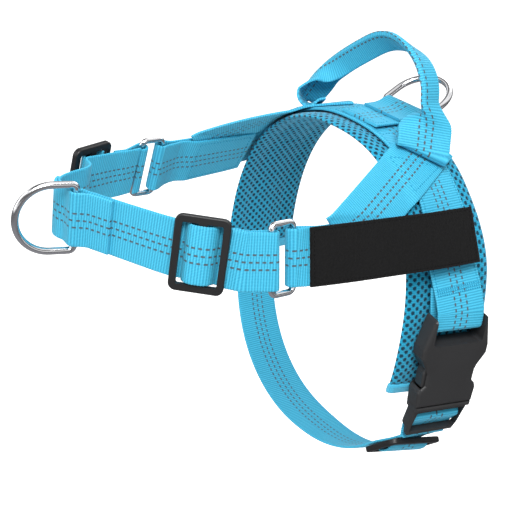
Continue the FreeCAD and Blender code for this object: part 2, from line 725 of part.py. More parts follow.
BELLY_STRAIGHT_FROM = 145.0     # girth angle where the strap leaves the loop for the plug
BELLY_STRAIGHT_TO = BUCKLE_AT - BUCKLE_N * 12.4 - UP * 78.0


def belly_strap():
    """From the right seam under the belly, up to the plug's bar, over it and back down."""
    points, across, _, _ = girth_band(SEAM_ANGLE - 0.4, BELLY_STRAIGHT_FROM, -WEB_T / 2, 0, 0)
    down, out = plug_axes()
    bar = plug_bar_point()
    radius = BAR_R + GAP + WEB_T / 2
    slope = unit(BELLY_STRAIGHT_TO - points[-1])
    run = curve_points([BELLY_STRAIGHT_TO, BELLY_STRAIGHT_TO + slope * 2, bar + down * 13.0 - out * 4.3,
                        bar - out * radius + down * 1.0], 8)
    for i in range(13):
        a = math.radians(180.0 * i / 12)
        run.append(bar - out * (radius * math.cos(a)) - down * (radius * math.sin(a)))
    run += [bar + out * (radius - 0.3) + down * 3.0, bar + down * 8.0 - out * 0.7,
            bar + down * 10.5 - out * 1.6, bar + down * 17.0 - out * 1.4]
    return band(points + run, across + [BUCKLE_W] * len(run))


def belly_frame():
    """Middle of the belly adjuster on the strap's outer side, and its axes."""
    start, normal = girth_point(BELLY_STRAIGHT_FROM, -WEB_T / 2)
    along = unit(BELLY_STRAIGHT_TO - start)
    across = girth_across(BELLY_STRAIGHT_FROM, normal)
    across = unit(across - along * across.dot(along))
    out = unit(along.cross(across))
    if out.z > 0:
        out = out * -1.0
    middle = (start + BELLY_STRAIGHT_TO) * 0.5 + out * (WEB_T / 2 + 5 * GAP)
    return middle, across.cross(out), across, out


def main():
    os.makedirs("parts", exist_ok=True)
    export("girth_webbing", girth_webbing())
    export("girth_pad", girth_pad())
    export("pad_binding_left", pad_binding(PAD_LEFT_END + 0.3, PAD_LEFT_END + 4.2))
    export("pad_binding_right", pad_binding(-101.2, -97.3))
    for name, shape in (("side_strap", side_strap()), ("patch", patch()),
                        ("shoulder_strap", shoulder_strap()), ("link_ring", link_ring())):
        export("left_" + name, shape)
        export("right_" + name, mirrored(shape))
    grip, left_end, right_end = handle_parts()
    export("handle_grip", grip)
    export("left_handle_end", left_end)
    export("right_handle_end", right_end)
    export("chest_strap", chest_strap())
    export("front_ring_tab", front_tab())
    _, bar, _, _ = bar_station()
    a = math.radians(FRONT_RING_TURN)
    export("front_lead_ring", lead_ring(bar, UP, Vector(-math.cos(a), math.sin(a), 0)))
    export("back_ring_tab", back_tab())
    a = math.radians(BACK_LEAN)
    export("back_lead_ring", lead_ring(BACK_BAR, Vector(0, 1, 0), Vector(math.cos(a), 0, math.sin(a))))
    for side, straight, share in (("left", LEFT_STRAIGHT, 0.52), ("right", RIGHT_STRAIGHT, 0.33)):
        axes = chest_frame(straight, share)
        export(side + "_adjuster", placed(glide_plate(), *axes))
        export(side + "_adjuster_wrap", placed(glide_wrap(), *axes))
        export(side + "_chest_loop", chest_loop(side))
    origin, along, across, out = belly_frame()
    export("belly_adjuster", placed(glide_plate(), origin, along, across, out))
    export("belly_adjuster_wrap", placed(glide_wrap(), origin, along, across, out))
    export("belly_strap", belly_strap())
    export("buckle_socket", in_buckle(buckle_socket()))
    export("buckle_plug", in_buckle(plug_frame()))
    arm = plug_arm()
    export("buckle_arm_rear", in_buckle(arm))
    export("buckle_arm_front", in_buckle(arm.mirror(Vector(0, 0, 0), Vector(1, 0, 0))))


main()
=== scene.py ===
import json
import math

import bpy
import numpy as np
from mathutils import Matrix, Vector


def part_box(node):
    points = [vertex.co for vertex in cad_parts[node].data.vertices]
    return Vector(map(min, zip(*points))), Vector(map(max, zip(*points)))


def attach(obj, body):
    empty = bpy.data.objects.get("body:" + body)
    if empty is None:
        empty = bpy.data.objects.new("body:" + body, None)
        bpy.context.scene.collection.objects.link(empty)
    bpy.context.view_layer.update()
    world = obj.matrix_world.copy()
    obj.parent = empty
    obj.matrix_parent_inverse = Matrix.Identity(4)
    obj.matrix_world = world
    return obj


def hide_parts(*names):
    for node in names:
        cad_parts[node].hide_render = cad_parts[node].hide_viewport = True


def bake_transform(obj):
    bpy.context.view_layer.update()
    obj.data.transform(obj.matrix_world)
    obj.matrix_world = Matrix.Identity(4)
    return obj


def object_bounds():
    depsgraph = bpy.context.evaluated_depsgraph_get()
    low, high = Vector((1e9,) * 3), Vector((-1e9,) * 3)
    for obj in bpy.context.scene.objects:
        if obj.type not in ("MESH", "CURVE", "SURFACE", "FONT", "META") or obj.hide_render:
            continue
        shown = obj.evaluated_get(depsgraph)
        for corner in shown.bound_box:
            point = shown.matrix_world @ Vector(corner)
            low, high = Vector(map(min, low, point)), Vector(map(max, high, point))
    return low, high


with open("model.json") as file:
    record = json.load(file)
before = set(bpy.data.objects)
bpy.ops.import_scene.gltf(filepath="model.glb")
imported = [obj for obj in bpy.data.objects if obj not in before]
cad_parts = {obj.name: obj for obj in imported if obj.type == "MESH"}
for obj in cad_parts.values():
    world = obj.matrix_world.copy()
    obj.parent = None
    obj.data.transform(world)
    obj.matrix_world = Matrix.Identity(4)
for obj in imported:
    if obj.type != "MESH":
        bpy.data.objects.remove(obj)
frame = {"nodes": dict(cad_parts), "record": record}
cad_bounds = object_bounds()

# Looks of a no pull dog harness, built round its CAD frame.  Lengths here are millimetres in
# the row frame (+X to the tail, -Y the dog's left, +Z up) and become metres in make_mesh.
MM = 0.001
WEB_W = 38.0  # webbing width and thickness
WEB_T = 2.0
GAP = 0.3  # air between sewn layers
RIB = 0.90  # one flank of a crosswise rib; a rib is two of these
RIB_DEPTH = 0.11
SCALLOP = 0.22  # how far each rib stands out at the selvedge
HALF_Y, HALF_Z, SQUARE = 112.0, 135.0, 2.3  # girth loop: half sizes, superellipse exponent
TURN, BULGE = 12.0, 12.9  # the girth's left side: degrees forwards, reach to the buckle
PAD_W, PAD_IN = 67.0, 7.7
RING_LEAN = 12.0  # degrees the link rings lean in at the top
LINK_WIRE_R, LEAD_WIRE_R = 2.1, 2.4
UP = np.array([0.0, 0.0, 1.0])
rng = np.random.default_rng(7)


# ---------------- numbers from the frame
def node_box(name):
    low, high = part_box(name)
    return np.array(low) / MM, np.array(high) / MM


def joint(name):
    for entry in frame["record"]["behaviour"]["joints"]:
        if entry["name"] == name:
            return entry
    raise KeyError(name)


RING_REAR_BAR = np.array(joint("left_link_swing")["pos_m"]) / MM
RING_FRONT_BAR = np.array(joint("chest_sway")["pos_m"]) / MM
FRONT_BAR = np.array(joint("front_ring_swing")["pos_m"]) / MM
BACK_BAR = np.array(joint("back_ring_flip")["pos_m"]) / MM


# ---------------- vector helpers
def unit(v):
    v = np.asarray(v, float)
    return v / np.maximum(np.linalg.norm(v, axis=-1, keepdims=True), 1e-9)


def smooth(value, start, end):
    t = np.clip((np.asarray(value, float) - start) / (end - start), 0.0, 1.0)
    return t * t * (3.0 - 2.0 * t)


def mix(a, b, t):
    t = np.asarray(t, float)
    if np.ndim(a) > np.ndim(t):
        t = t[..., None]
    return np.asarray(a) * (1 - t) + np.asarray(b) * t


def resample(points, step, *others):
    """Points at an even step along a row of points; the other rows follow."""
    points = np.asarray(points, float)
    gaps = np.linalg.norm(np.diff(points, axis=0), axis=1)
    keep = np.concatenate([[True], gaps > 1e-6])
    points = points[keep]
    along = np.concatenate([[0], np.cumsum(gaps[gaps > 1e-6])])
    count = max(3, int(round(along[-1] / step)) + 1)
    at = np.linspace(0, along[-1], count)
    rows = []
    for row in (points,) + tuple(np.asarray(o, float)[keep] for o in others):
        if row.ndim == 1:
            rows.append(np.interp(at, along, row))
        else:
            rows.append(np.stack([np.interp(at, along, row[:, k]) for k in range(row.shape[1])], 1))
    return rows + [at]


def curve(controls, per_span=12):
    """Smooth row of points through the control rows (Catmull-Rom)."""
    c = np.asarray(controls, float)
    c = np.vstack([2 * c[0] - c[1], c, 2 * c[-1] - c[-2]])
    out = []
    for i in range(1, len(c) - 2):
        t = np.linspace(0, 1, per_span, endpoint=False)[:, None]
        a, b, d, e = c[i - 1], c[i], c[i + 1], c[i + 2]
        out.append(0.5 * (2 * b + (d - a) * t + (2 * a - 5 * b + 4 * d - e) * t ** 2
                          + (3 * b - a - 3 * d + e) * t ** 3))
    out.append(c[-2][None])
    return np.vstack(out)


def tangents(points):
    return unit(np.gradient(points, axis=0))


def mirror(points):
    return np.asarray(points) * np.array([1, -1, 1])


def relax(points, rounds):
    """Evens out kinks in a row of points, ends held."""
    p = np.array(points, float)
    for _ in range(rounds):
        p[1:-1] = (p[:-2] + 2 * p[1:-1] + p[2:]) / 4
    return p


# ---------------- meshes
def make_mesh(name, material, verts, faces, marks=None, smooth_faces=True):
    mesh = bpy.data.meshes.new(name)
    mesh.from_pydata((np.asarray(verts) * MM).tolist(), [], faces)
    if marks is not None:
        data = mesh.attributes.new("cloth", "FLOAT_VECTOR", "POINT").data
        data.foreach_set("vector", np.asarray(marks, np.float32).ravel())
    mesh.materials.append(material)
    mesh.polygons.foreach_set("use_smooth", [smooth_faces] * len(mesh.polygons))
    mesh.update()
    obj = bpy.data.objects.new(name, mesh)
    bpy.context.scene.collection.objects.link(obj)
    return obj


def replace(obj, slot, *nodes):
    """The piece stands in for these CAD nodes."""
    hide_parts(*nodes)


def ride_all(body, *objects):
    for obj in objects:
        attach(obj, body)


def closed_sheet(grid, thick, cloth, normals=None, back=None):
    """Closed skin round a grid of points: verts, faces, and the cloth position of each."""
    rows, cols = grid.shape[:2]
    if normals is None:
        normals = unit(np.cross(np.gradient(grid, axis=0), np.gradient(grid, axis=1)))
    half = np.broadcast_to(np.asarray(thick, float), (rows, cols))[..., None] / 2
    ring = np.concatenate([grid + normals * half, (grid - normals * half)[:, ::-1]], axis=1)
    back = cloth * [1, 1, -1] if back is None else back
    marks = np.concatenate([cloth, back[:, ::-1]], axis=1)
    width = 2 * cols
    index = np.arange(rows * width).reshape(rows, width)
    nxt = np.roll(index, -1, axis=1)
    quads = np.stack([index[:-1], nxt[:-1], nxt[1:], index[1:]], -1).reshape(-1, 4).tolist()
    for row, flip in ((index[0], 1), (index[-1], -1)):
        for j in range(cols - 1):
            end = [row[j], row[width - 1 - j], row[width - 2 - j], row[j + 1]]
            quads.append([int(corner) for corner in end][::flip])
    return ring.reshape(-1, 3), quads, marks.reshape(-1, 3)


COLUMNS = np.concatenate([[-1, -0.975], np.linspace(-0.92, 0.92, 13), [0.975, 1]])
EDGE_THIN = np.concatenate([[0.5, 0.86], np.ones(13), [0.86, 0.5]])


class Strap:
    """A length of webbing: ribbed closed mesh, and a way to find places on its face."""

    def __init__(self, name, points, across, width=WEB_W, thick=WEB_T, shape=None):
        across = np.broadcast_to(np.asarray(across, float), np.shape(points))
        got = resample(points, RIB, across, *([] if shape is None else [shape]))
        self.name, self.width, self.thick = name, width, thick
        self.points, self.along = got[0], got[-1]
        turn = tangents(self.points)
        self.across = unit(got[1] - turn * np.sum(got[1] * turn, axis=1, keepdims=True))
        self.normal = np.cross(turn, self.across)
        self.turn = turn
        self.shape = got[2] if shape is not None else None
        self.grid = self.points[:, None] + self.across[:, None] * (COLUMNS * width / 2)[None, :, None]

    def build(self, *nodes):
        """Webbing mesh with crosswise ribs and a scalloped selvedge, in place of these CAD nodes."""
        rows = len(self.points)
        wave = np.where(np.arange(rows) % 2 == 0, 1.0, -1.0)
        grid = self.grid.copy()
        outward = unit(grid[:, -1] - grid[:, 0]) * (wave * SCALLOP / 2)[:, None]
        grid[:, :2] -= outward[:, None]
        grid[:, -2:] += outward[:, None]
        thick = self.thick * EDGE_THIN[None] + (wave * RIB_DEPTH)[:, None] * EDGE_THIN[None]
        cloth = np.zeros((rows, len(COLUMNS), 3))
        cloth[..., 0] = COLUMNS * self.width / 2
        cloth[..., 1] = self.along[:, None]
        cloth[..., 2] = 1
        verts, faces, marks = closed_sheet(grid, thick, cloth)
        obj = make_mesh(self.name, WEBBING, verts, faces, marks, False)
        replace(obj, "webbing", *nodes)
        return obj

    def at(self, u, v, side=1):
        """Point on the strap's face, v along it and u across it, and the face's normal."""
        v = np.asarray(v, float)
        where, sideways, normal = (
            np.stack([np.interp(v, self.along, row[:, k]) for k in range(3)], -1)
            for row in (self.points, self.across, self.normal))
        normal = unit(normal) * side
        u = np.asarray(u, float)[..., None]
        return where + sideways * u + normal * self.thick / 2, normal


# ---------------- stitching
class Thread:
    """Collects raised stitches and builds them as one piece."""

    def __init__(self, name, material):
        self.name, self.material = name, material
        self.verts, self.faces = [], []

    def stitch(self, a, b, normal, radius=0.40):
        """One stitch: a short, slightly sunk, six-sided bead from a to b."""
        along = unit(b - a)
        side = unit(np.cross(normal, along))
        length = np.linalg.norm(b - a)
        base = len(self.verts)
        ends = [(0.0, 0.35), (0.22, 0.95), (0.78, 0.95), (1.0, 0.35)]
        for t, fat in ends:
            centre = a + along * length * t - normal * radius * (0.9 - 0.8 * fat)
            for k in range(6):
                angle = math.pi * k / 3
                offset = side * math.cos(angle) + normal * math.sin(angle) * 0.85
                self.verts.append(centre + offset * radius * fat)
        for r in range(len(ends) - 1):
            for k in range(6):
                n = (k + 1) % 6
                here, there = base + 6 * r, base + 6 * r + 6
                self.faces.append([here + k, here + n, there + n, there + k])
        self.faces.append([base + k for k in reversed(range(6))])
        self.faces.append([base + 18 + k for k in range(6)])

    def run(self, points, normals, pitch=2.9, dash=0.74, radius=0.40):
        """A row of stitches along points that already lie on the cloth."""
        points = np.asarray(points, float)
        normals = np.broadcast_to(np.asarray(normals, float), points.shape)
        even = resample(points, pitch, normals)
        p, n = even[0], unit(even[1])
        for i in range(len(p) - 1):
            a = mix(p[i], p[i + 1], (1 - dash) / 2)
            b = mix(p[i], p[i + 1], 1 - (1 - dash) / 2)
            self.stitch(a, b, unit(n[i] + n[i + 1]), radius)

    def on_strap(self, strap, corners, side=1, **keys):
        """Stitches through a list of (across, along) corners on a strap's face."""
        for (u0, v0), (u1, v1) in zip(corners[:-1], corners[1:]):
            count = max(3, int(math.hypot(u1 - u0, v1 - v0) / 1.5))
            points, normals = strap.at(np.linspace(u0, u1, count), np.linspace(v0, v1, count), side=side)
            self.run(points, normals, **keys)

    def build(self):
        return make_mesh(self.name, self.material, self.verts, self.faces)


def box_corners(u0, u1, v0, v1):
    return [(u0, v0), (u1, v0), (u1, v1), (u0, v1), (u0, v0)]


# ---------------- materials
class Nodes:
    """Short way to wire the shader nodes of a new material, or of a given tree."""

    def __init__(self, name, tree=None):
        if tree is None:
            self.material = bpy.data.materials.new(name)
            self.material.use_nodes = True
            tree = self.material.node_tree
            self.bsdf = tree.nodes["Principled BSDF"]
        self.tree = tree

    def add(self, kind, **settings):
        node = self.tree.nodes.new("ShaderNode" + kind)
        for key, value in settings.items():
            setattr(node, key, value)
        return node

    def link(self, a, b):
        self.tree.links.new(a, b)

    def feed(self, socket, value):
        if isinstance(value, (int, float, tuple, list)):
            socket.default_value = value
        else:
            self.link(value, socket)

    def math(self, operation, a, b=0.0, c=0.0):
        node = self.add("Math", operation=operation)
        for i, value in enumerate((a, b, c)):
            self.feed(node.inputs[i], value)
        return node.outputs[0]

    def times(self, a, b):
        return self.math("MULTIPLY", a, b)

    def plus(self, a, b):
        return self.math("ADD", a, b)

    def object_space(self):
        return self.add("TexCoord").outputs["Object"]

    def cloth(self):
        """The cloth position, and its parts across and along the strap."""
        attribute = self.add("Attribute", attribute_name="cloth")
        split = self.add("SeparateXYZ")
        self.link(attribute.outputs["Vector"], split.inputs[0])
        return attribute.outputs["Vector"], split.outputs[0], split.outputs[1]

    def noise(self, vector, scale, detail=2.0, stretch=None):
        if stretch is not None:
            mapping = self.add("Mapping")
            self.link(vector, mapping.inputs["Vector"])
            mapping.inputs["Scale"].default_value = stretch
            vector = mapping.outputs[0]
        node = self.add("TexNoise")
        node.inputs["Scale"].default_value = scale
        node.inputs["Detail"].default_value = detail
        self.link(vector, node.inputs["Vector"])
        return node.outputs["Fac"]

    def blend(self, factor, a, b):
        node = self.add("Mix", data_type="RGBA")
        self.feed(node.inputs[0], factor)
        self.feed(node.inputs[6], a if not isinstance(a, tuple) else a + (1.0,))
        self.feed(node.inputs[7], b if not isinstance(b, tuple) else b + (1.0,))
        return node.outputs[2]

    def bump(self, height, strength, distance):
        node = self.add("Bump")
        node.inputs["Strength"].default_value = strength
        node.inputs["Distance"].default_value = distance * MM
        self.link(height, node.inputs["Height"])
        self.link(node.outputs[0], self.bsdf.inputs["Normal"])

    def set(self, **values):
        for key, value in values.items():
            socket = self.bsdf.inputs[key.replace("_", " ")]
            if isinstance(value, tuple):
                value = value + (1.0,)
            self.feed(socket, value)

    def wave(self, value, pitch, phase=0.0):
        """0 to 1 sine of a length."""
        turned = self.math("MULTIPLY_ADD", value, 2 * math.pi / pitch, phase)
        return self.math("MULTIPLY_ADD", self.math("SINE", turned), 0.5, 0.5)


# Blue webbing tones: the deep one is painted shade in rib and weave hollows and also random darker patches,
# the pale one is painted highlight on raised yarn flecks.
BLUE = (0.052, 0.445, 0.650)
BLUE_DEEP_AND_SHADE = (0.008, 0.215, 0.365)
BLUE_PALE_HIGHLIGHT = (0.170, 0.650, 0.830)
DASH = (0.060, 0.048, 0.045)
ROW_GAP, DASH_PITCH = 4.8, 4.3
HOLE_PITCH = 6.2


def webbing_material():
    """Ribbed weave with rows of dark dashes along the middle; rib valleys carry painted shade, raised yarn
    flecks are partly painted highlight.
    """
    n = Nodes("webbing")
    vector, u, v = n.cloth()
    rib = n.wave(v, 2 * RIB, math.pi / 2)
    yarn = n.wave(u, 0.95)
    fleck = n.noise(vector, 1.1, 3.0)
    cloud = n.noise(vector, 0.035, 2.0)
    # rib valleys darkened: painted shade between the ribs
    colour = n.blend(n.times(rib, 0.8), BLUE_DEEP_AND_SHADE, BLUE)
    # paler flecks on the raised yarn: random fibre tone and painted highlight
    colour = n.blend(n.times(n.times(fleck, yarn), 0.45), colour, BLUE_PALE_HIGHLIGHT)
    colour = n.blend(n.times(cloud, 0.16), colour, BLUE_DEEP_AND_SHADE)
    position = n.math("ABSOLUTE", u)
    on_row = n.math("LESS_THAN", n.math("PINGPONG", position, ROW_GAP / 2), 0.62)
    inside = n.math("LESS_THAN", position, ROW_GAP * 1.25)
    shift = n.times(n.math("ROUND", n.math("DIVIDE", u, ROW_GAP)), DASH_PITCH / 2)
    beat = n.math("FRACT", n.math("DIVIDE", n.plus(v, shift), DASH_PITCH))
    mask = n.times(n.times(on_row, inside), n.math("LESS_THAN", beat, 0.56))
    worn = n.times(mask, n.math("MULTIPLY_ADD", fleck, 0.5, 0.62))
    colour = n.blend(worn, colour, DASH)
    n.set(Base_Color=colour, Roughness=0.62, Sheen_Weight=0.08, Sheen_Roughness=0.4,
          Specular_IOR_Level=0.22)
    fuzz = n.times(yarn, fleck)
    n.bump(n.plus(n.times(rib, 0.7), n.times(fuzz, 0.8)), 0.8, 0.26)
    return n.material


def mesh_pad_material():
    """Spacer mesh: knitted face with a diamond grid of open holes; knit hollows and holes are painted dark
    as painted shade.
    """
    n = Nodes("pad_mesh")
    vector, u, v = n.cloth()
    knit = n.times(n.wave(u, 1.2), n.wave(v, 1.5))
    fleck = n.noise(vector, 0.9, 3.0)
    cloud = n.noise(vector, 0.05, 2.0)
    # knit hollows darker than the knit tops: painted shade
    base = n.blend(knit, (0.004, 0.200, 0.340), (0.020, 0.390, 0.590))
    base = n.blend(n.times(fleck, 0.3), base, (0.010, 0.180, 0.310))
    base = n.blend(n.times(cloud, 0.25), base, (0.015, 0.400, 0.620))
    row = n.math("ROUND", n.math("DIVIDE", v, HOLE_PITCH / 2))
    odd = n.math("PINGPONG", row, 1.0)
    across = n.math("MULTIPLY_ADD", odd, HOLE_PITCH / 2, u)
    du = n.math("PINGPONG", across, HOLE_PITCH / 2)
    dv = n.times(n.math("SUBTRACT", v, n.times(row, HOLE_PITCH / 2)), 0.85)
    distance = n.math("SQRT", n.plus(n.times(du, du), n.times(dv, dv)))
    distance = n.math("MULTIPLY_ADD", fleck, 0.35, distance)
    depth = n.math("MAXIMUM", n.math("MULTIPLY_ADD", distance, -2.0, 3.5), 0.0)
    hole = n.math("SMOOTH_MIN", depth, 1.0, 0.1)
    # holes painted near black: painted shade inside the holes
    colour = n.blend(hole, base, (0.001, 0.035, 0.062))
    n.set(Base_Color=colour, Roughness=0.8, Sheen_Weight=0.2, Sheen_Roughness=0.5, Specular_IOR_Level=0.12)
    n.bump(n.math("SUBTRACT", n.plus(knit, fleck), n.times(hole, 2.5)), 0.5, 0.35)
    return n.material


def binding_material():
    n = Nodes("binding")
    vector, u, v = n.cloth()
    weave = n.times(n.wave(u, 0.9), n.wave(v, 1.0))
    fleck = n.noise(vector, 0.7, 3.0)
    # weave hollows darkened: painted shade
    colour = n.blend(weave, BLUE_DEEP_AND_SHADE, BLUE)
    # paler raised flecks: random fibre tone and painted highlight
    colour = n.blend(n.times(fleck, 0.3), colour, BLUE_PALE_HIGHLIGHT)
    n.set(Base_Color=colour, Roughness=0.7, Sheen_Weight=0.3, Specular_IOR_Level=0.2)
    n.bump(n.plus(weave, fleck), 0.4, 0.2)
    return n.material


def pile_material():
    n = Nodes("loop_pile")
    vector = n.object_space()
    fuzz = n.noise(vector, 900.0, 4.0)
    patch = n.noise(vector, 60.0, 2.0)
    colour = n.blend(fuzz, (0.001, 0.001, 0.001), (0.009, 0.009, 0.0095))
    colour = n.blend(n.times(patch, 0.3), colour, (0.005, 0.005, 0.005))
    n.set(Base_Color=colour, Roughness=0.95, Sheen_Weight=0.05, Sheen_Roughness=0.6,
          Specular_IOR_Level=0.04)
    n.bump(fuzz, 0.7, 0.6)
    return n.material


def chrome_material():
    n = Nodes("chrome")
    vector = n.object_space()
    scuff = n.noise(vector, 300.0, 4.0, (1, 1, 6))
    haze = n.noise(vector, 40.0, 2.0)
    n.set(Base_Color=n.blend(haze, (0.74, 0.74, 0.77), (0.92, 0.92, 0.93)), Metallic=1.0,
          Roughness=n.math("MULTIPLY_ADD", scuff, 0.06, 0.13))
    n.bump(scuff, 0.01, 0.05)
    return n.material


def plastic_material(name, dark, light, grain):
    n = Nodes(name)
    vector = n.object_space()
    speck = n.noise(vector, grain, 3.0)
    cloud = n.noise(vector, 25.0, 2.0)
    n.set(Base_Color=n.blend(cloud, dark, light),
          Roughness=n.math("MULTIPLY_ADD", speck, 0.14, 0.36), Specular_IOR_Level=0.35)
    n.bump(speck, 0.22, 0.08)
    return n.material


def thread_material(name, dark, light):
    n = Nodes(name)
    vector = n.object_space()
    twist = n.noise(vector, 1500.0, 2.0)
    n.set(Base_Color=n.blend(twist, dark, light), Roughness=0.8, Specular_IOR_Level=0.1)
    n.bump(twist, 0.3, 0.1)
    return n.material


WEBBING = webbing_material()
PAD_MESH = mesh_pad_material()
BINDING = binding_material()
PILE = pile_material()
CHROME = chrome_material()
BUCKLE = plastic_material("buckle_plastic", (0.018, 0.018, 0.019), (0.026, 0.026, 0.027), 2600.0)
GLIDE = plastic_material("glide_plastic", (0.008, 0.008, 0.009), (0.014, 0.014, 0.015), 2200.0)
# Blue thread darker than the webbing: the thread's own blue and painted shade along the sunk stitch lines.
THREAD_BLUE_SHADED = thread_material("thread_blue_shaded", (0.006, 0.150, 0.270), (0.030, 0.300, 0.470))
THREAD_BLACK = thread_material("thread_black", (0.001, 0.001, 0.001), (0.006, 0.006, 0.006))


# ---------------- girth loop shape
def girth_point(theta, offset=0.0):
    """Points and outward normals of the loop; theta from the top towards the left side."""
    a = np.radians(np.asarray(theta, float))
    s, c = np.sin(a), np.cos(a)
    r = (np.abs(s / HALF_Y) ** SQUARE + np.abs(c / HALF_Z) ** SQUARE) ** (-1 / SQUARE)
    y, z = -r * s, r * c
    normal = np.stack([np.zeros_like(y), np.sign(y) * np.abs(y / HALF_Y) ** (SQUARE - 1) / HALF_Y,
                       np.sign(z) * np.abs(z / HALF_Z) ** (SQUARE - 1) / HALF_Z], -1)
    normal = unit(normal)
    offset = np.asarray(offset, float)
    return np.stack([np.zeros_like(y), y, z], -1) + normal * offset[..., None], normal


def girth_across(theta, normal):
    """Width direction of the girth, turned on the left side to follow the buckle."""
    theta = np.mod(theta, 360.0)
    turn = np.radians(TURN * smooth(theta, 35, 65) * (1 - smooth(theta, 150, 190)))
    return np.array([1.0, 0, 0]) * np.cos(turn)[..., None] + normal * np.sin(turn)[..., None]


def girth_bulge(theta):
    theta = np.mod(theta, 360.0)
    return BULGE * smooth(theta, 55, 80) * (1 - smooth(theta, 82, 110))


def girth_run(start, end, offset, bulged=False):
    theta = np.linspace(start, end, max(12, int(abs(end - start) * 2)))
    extra = girth_bulge(theta) if bulged else 0.0
    points, normal = girth_point(theta, offset + extra + 0.0 * theta)
    return points, girth_across(theta, normal)


TURN_RAD = math.radians(TURN)
BUCKLE_AT = np.array([0.0, -118.2, 0.0])
BUCKLE_W = np.array([math.cos(TURN_RAD), -math.sin(TURN_RAD), 0])
BUCKLE_N = np.array([-math.sin(TURN_RAD), -math.cos(TURN_RAD), 0])
BAR_R, SOCKET_BAR_Z, PLUG_BAR_Z, PLUG_LEAN = 2.4, 22.0, -54.5, 16.0
LOOP_R = BAR_R + 0.35 + WEB_T / 2


def half_turn(centre, first, second, radius, start, end):
    """Arc of points round a bar, from the first direction towards the second."""
    a = np.radians(np.linspace(start, end, 19))[:, None]
    return centre + first * np.cos(a) * radius + second * np.sin(a) * radius


def girth_webbing():
    points, across = girth_run(-98, 75, -WEB_T / 2, True)
    bar = BUCKLE_AT + UP * SOCKET_BAR_Z
    loop = half_turn(bar, BUCKLE_N, -UP, LOOP_R, 0, 180)
    top, _ = girth_point(np.array([66.0]), girth_bulge(np.array([66.0])) - 1.5 * WEB_T - 0.5)
    tail = mix(loop[-1][None], top, np.linspace(0.1, 1, 8)[:, None])
    points = relax(np.vstack([points, loop, tail]), 2)
    across = np.vstack([across, np.tile(BUCKLE_W, (len(loop) + len(tail), 1))])
    return Strap("girth_webbing_cloth", points, across)


EDGE_SEAM, PATCH_SEAM = 16.8, 15.5  # from the middle of the webbing
FOLD_ROWS = (24.0, 26.0, 28.0)  # rows of stitches below the turn round the socket's bar


def girth_stitches(girth):
    """Seams along both selvedges, a bar of rows over the folded end, and the top patch seam."""
    thread = Thread("girth_stitches", THREAD_BLUE_SHADED)
    bar = np.argmin(np.linalg.norm(girth.points - (BUCKLE_AT + UP * SOCKET_BAR_Z), axis=1))
    loop_at = girth.along[bar]
    seam_end = loop_at - FOLD_ROWS[1]
    outward = 1 if np.dot(girth.normal[bar // 2], girth.points[bar // 2]) > 0 else -1
    for u in (-EDGE_SEAM, EDGE_SEAM):
        thread.on_strap(girth, [(u, 2.0), (u, seam_end)], side=outward)
    for back in FOLD_ROWS:
        thread.on_strap(girth, [(-18.0, loop_at - back), (18.0, loop_at - back)],
                        side=outward, pitch=1.8, radius=0.62)
    top = girth.along[np.argmax(girth.points[:, 2])]
    thread.on_strap(girth, box_corners(-PATCH_SEAM, PATCH_SEAM, top - 22.0, top + 30.0), side=outward)
    return thread.build()


# ---------------- side straps
# x, distance to the left, height and lean in degrees of the side strap's centre line
SIDE_STATIONS = np.array([(-126.0, 83.8, 80.4, 12.0), (-118.0, 86.3, 80.5, 16.0),
                          (-85.0, 91.0, 80.3, 21.0), (-52.0, 94.8, 80.2, 24.0),
                          (-19.0, 99.6, 80.6, 27.0), (17.0, 103.6, 81.4, 30.0)])


def lean(degrees):
    """Width direction of a left-hand strap that leans in at the top."""
    a = np.radians(np.asarray(degrees, float))
    return np.stack([np.zeros_like(a), np.sin(a), np.cos(a)], -1)


def side_station(x):
    return [np.interp(x, SIDE_STATIONS[:, 0], SIDE_STATIONS[:, k]) for k in (1, 2, 3)]


def side_run(first_x, last_x, offset=0.0):
    x = np.linspace(first_x, last_x, 60)
    y, z, tilt = side_station(x)
    points = relax(np.stack([x, -y, z], -1), 12)
    across = lean(tilt)
    normal = np.cross(tangents(points), across)
    return points + normal * offset, across


RING_TILT = lean(RING_LEAN)
INNER_END = -39.0  # the strap's inner layer ends at the pad
PANEL_W, PANEL_W_RIGHT, PANEL_T = 38.8, 36.0, 2.0
PANEL_SEAM_IN, PANEL_THREAD_R = 2.4, 0.30
WIRE_LOOP_R = LINK_WIRE_R + 1.15 + WEB_T / 2


def bar_loop(bar, end):
    outward = np.array([0, -RING_TILT[2], RING_TILT[1]])
    return half_turn(bar, outward, np.array([-end, 0, 0.0]), WIRE_LOOP_R, 180, 0)


def side_strap_points():
    loop = bar_loop(RING_REAR_BAR, 1)
    outer, up_outer = side_run(-118.0, 16.0)
    inner, up_inner = side_run(-112.0, INNER_END, -WEB_T - GAP)
    deeper = smooth(inner[:, 0], -106.0, -94.0) * (WEB_T + 0.4)
    inner = inner - np.cross(tangents(inner), up_inner) * deeper[:, None]
    points = np.vstack([inner[::-1], loop, outer])
    across = np.vstack([up_inner[::-1], np.tile(RING_TILT, (len(loop), 1)), up_outer])
    return relax(points, 1), across


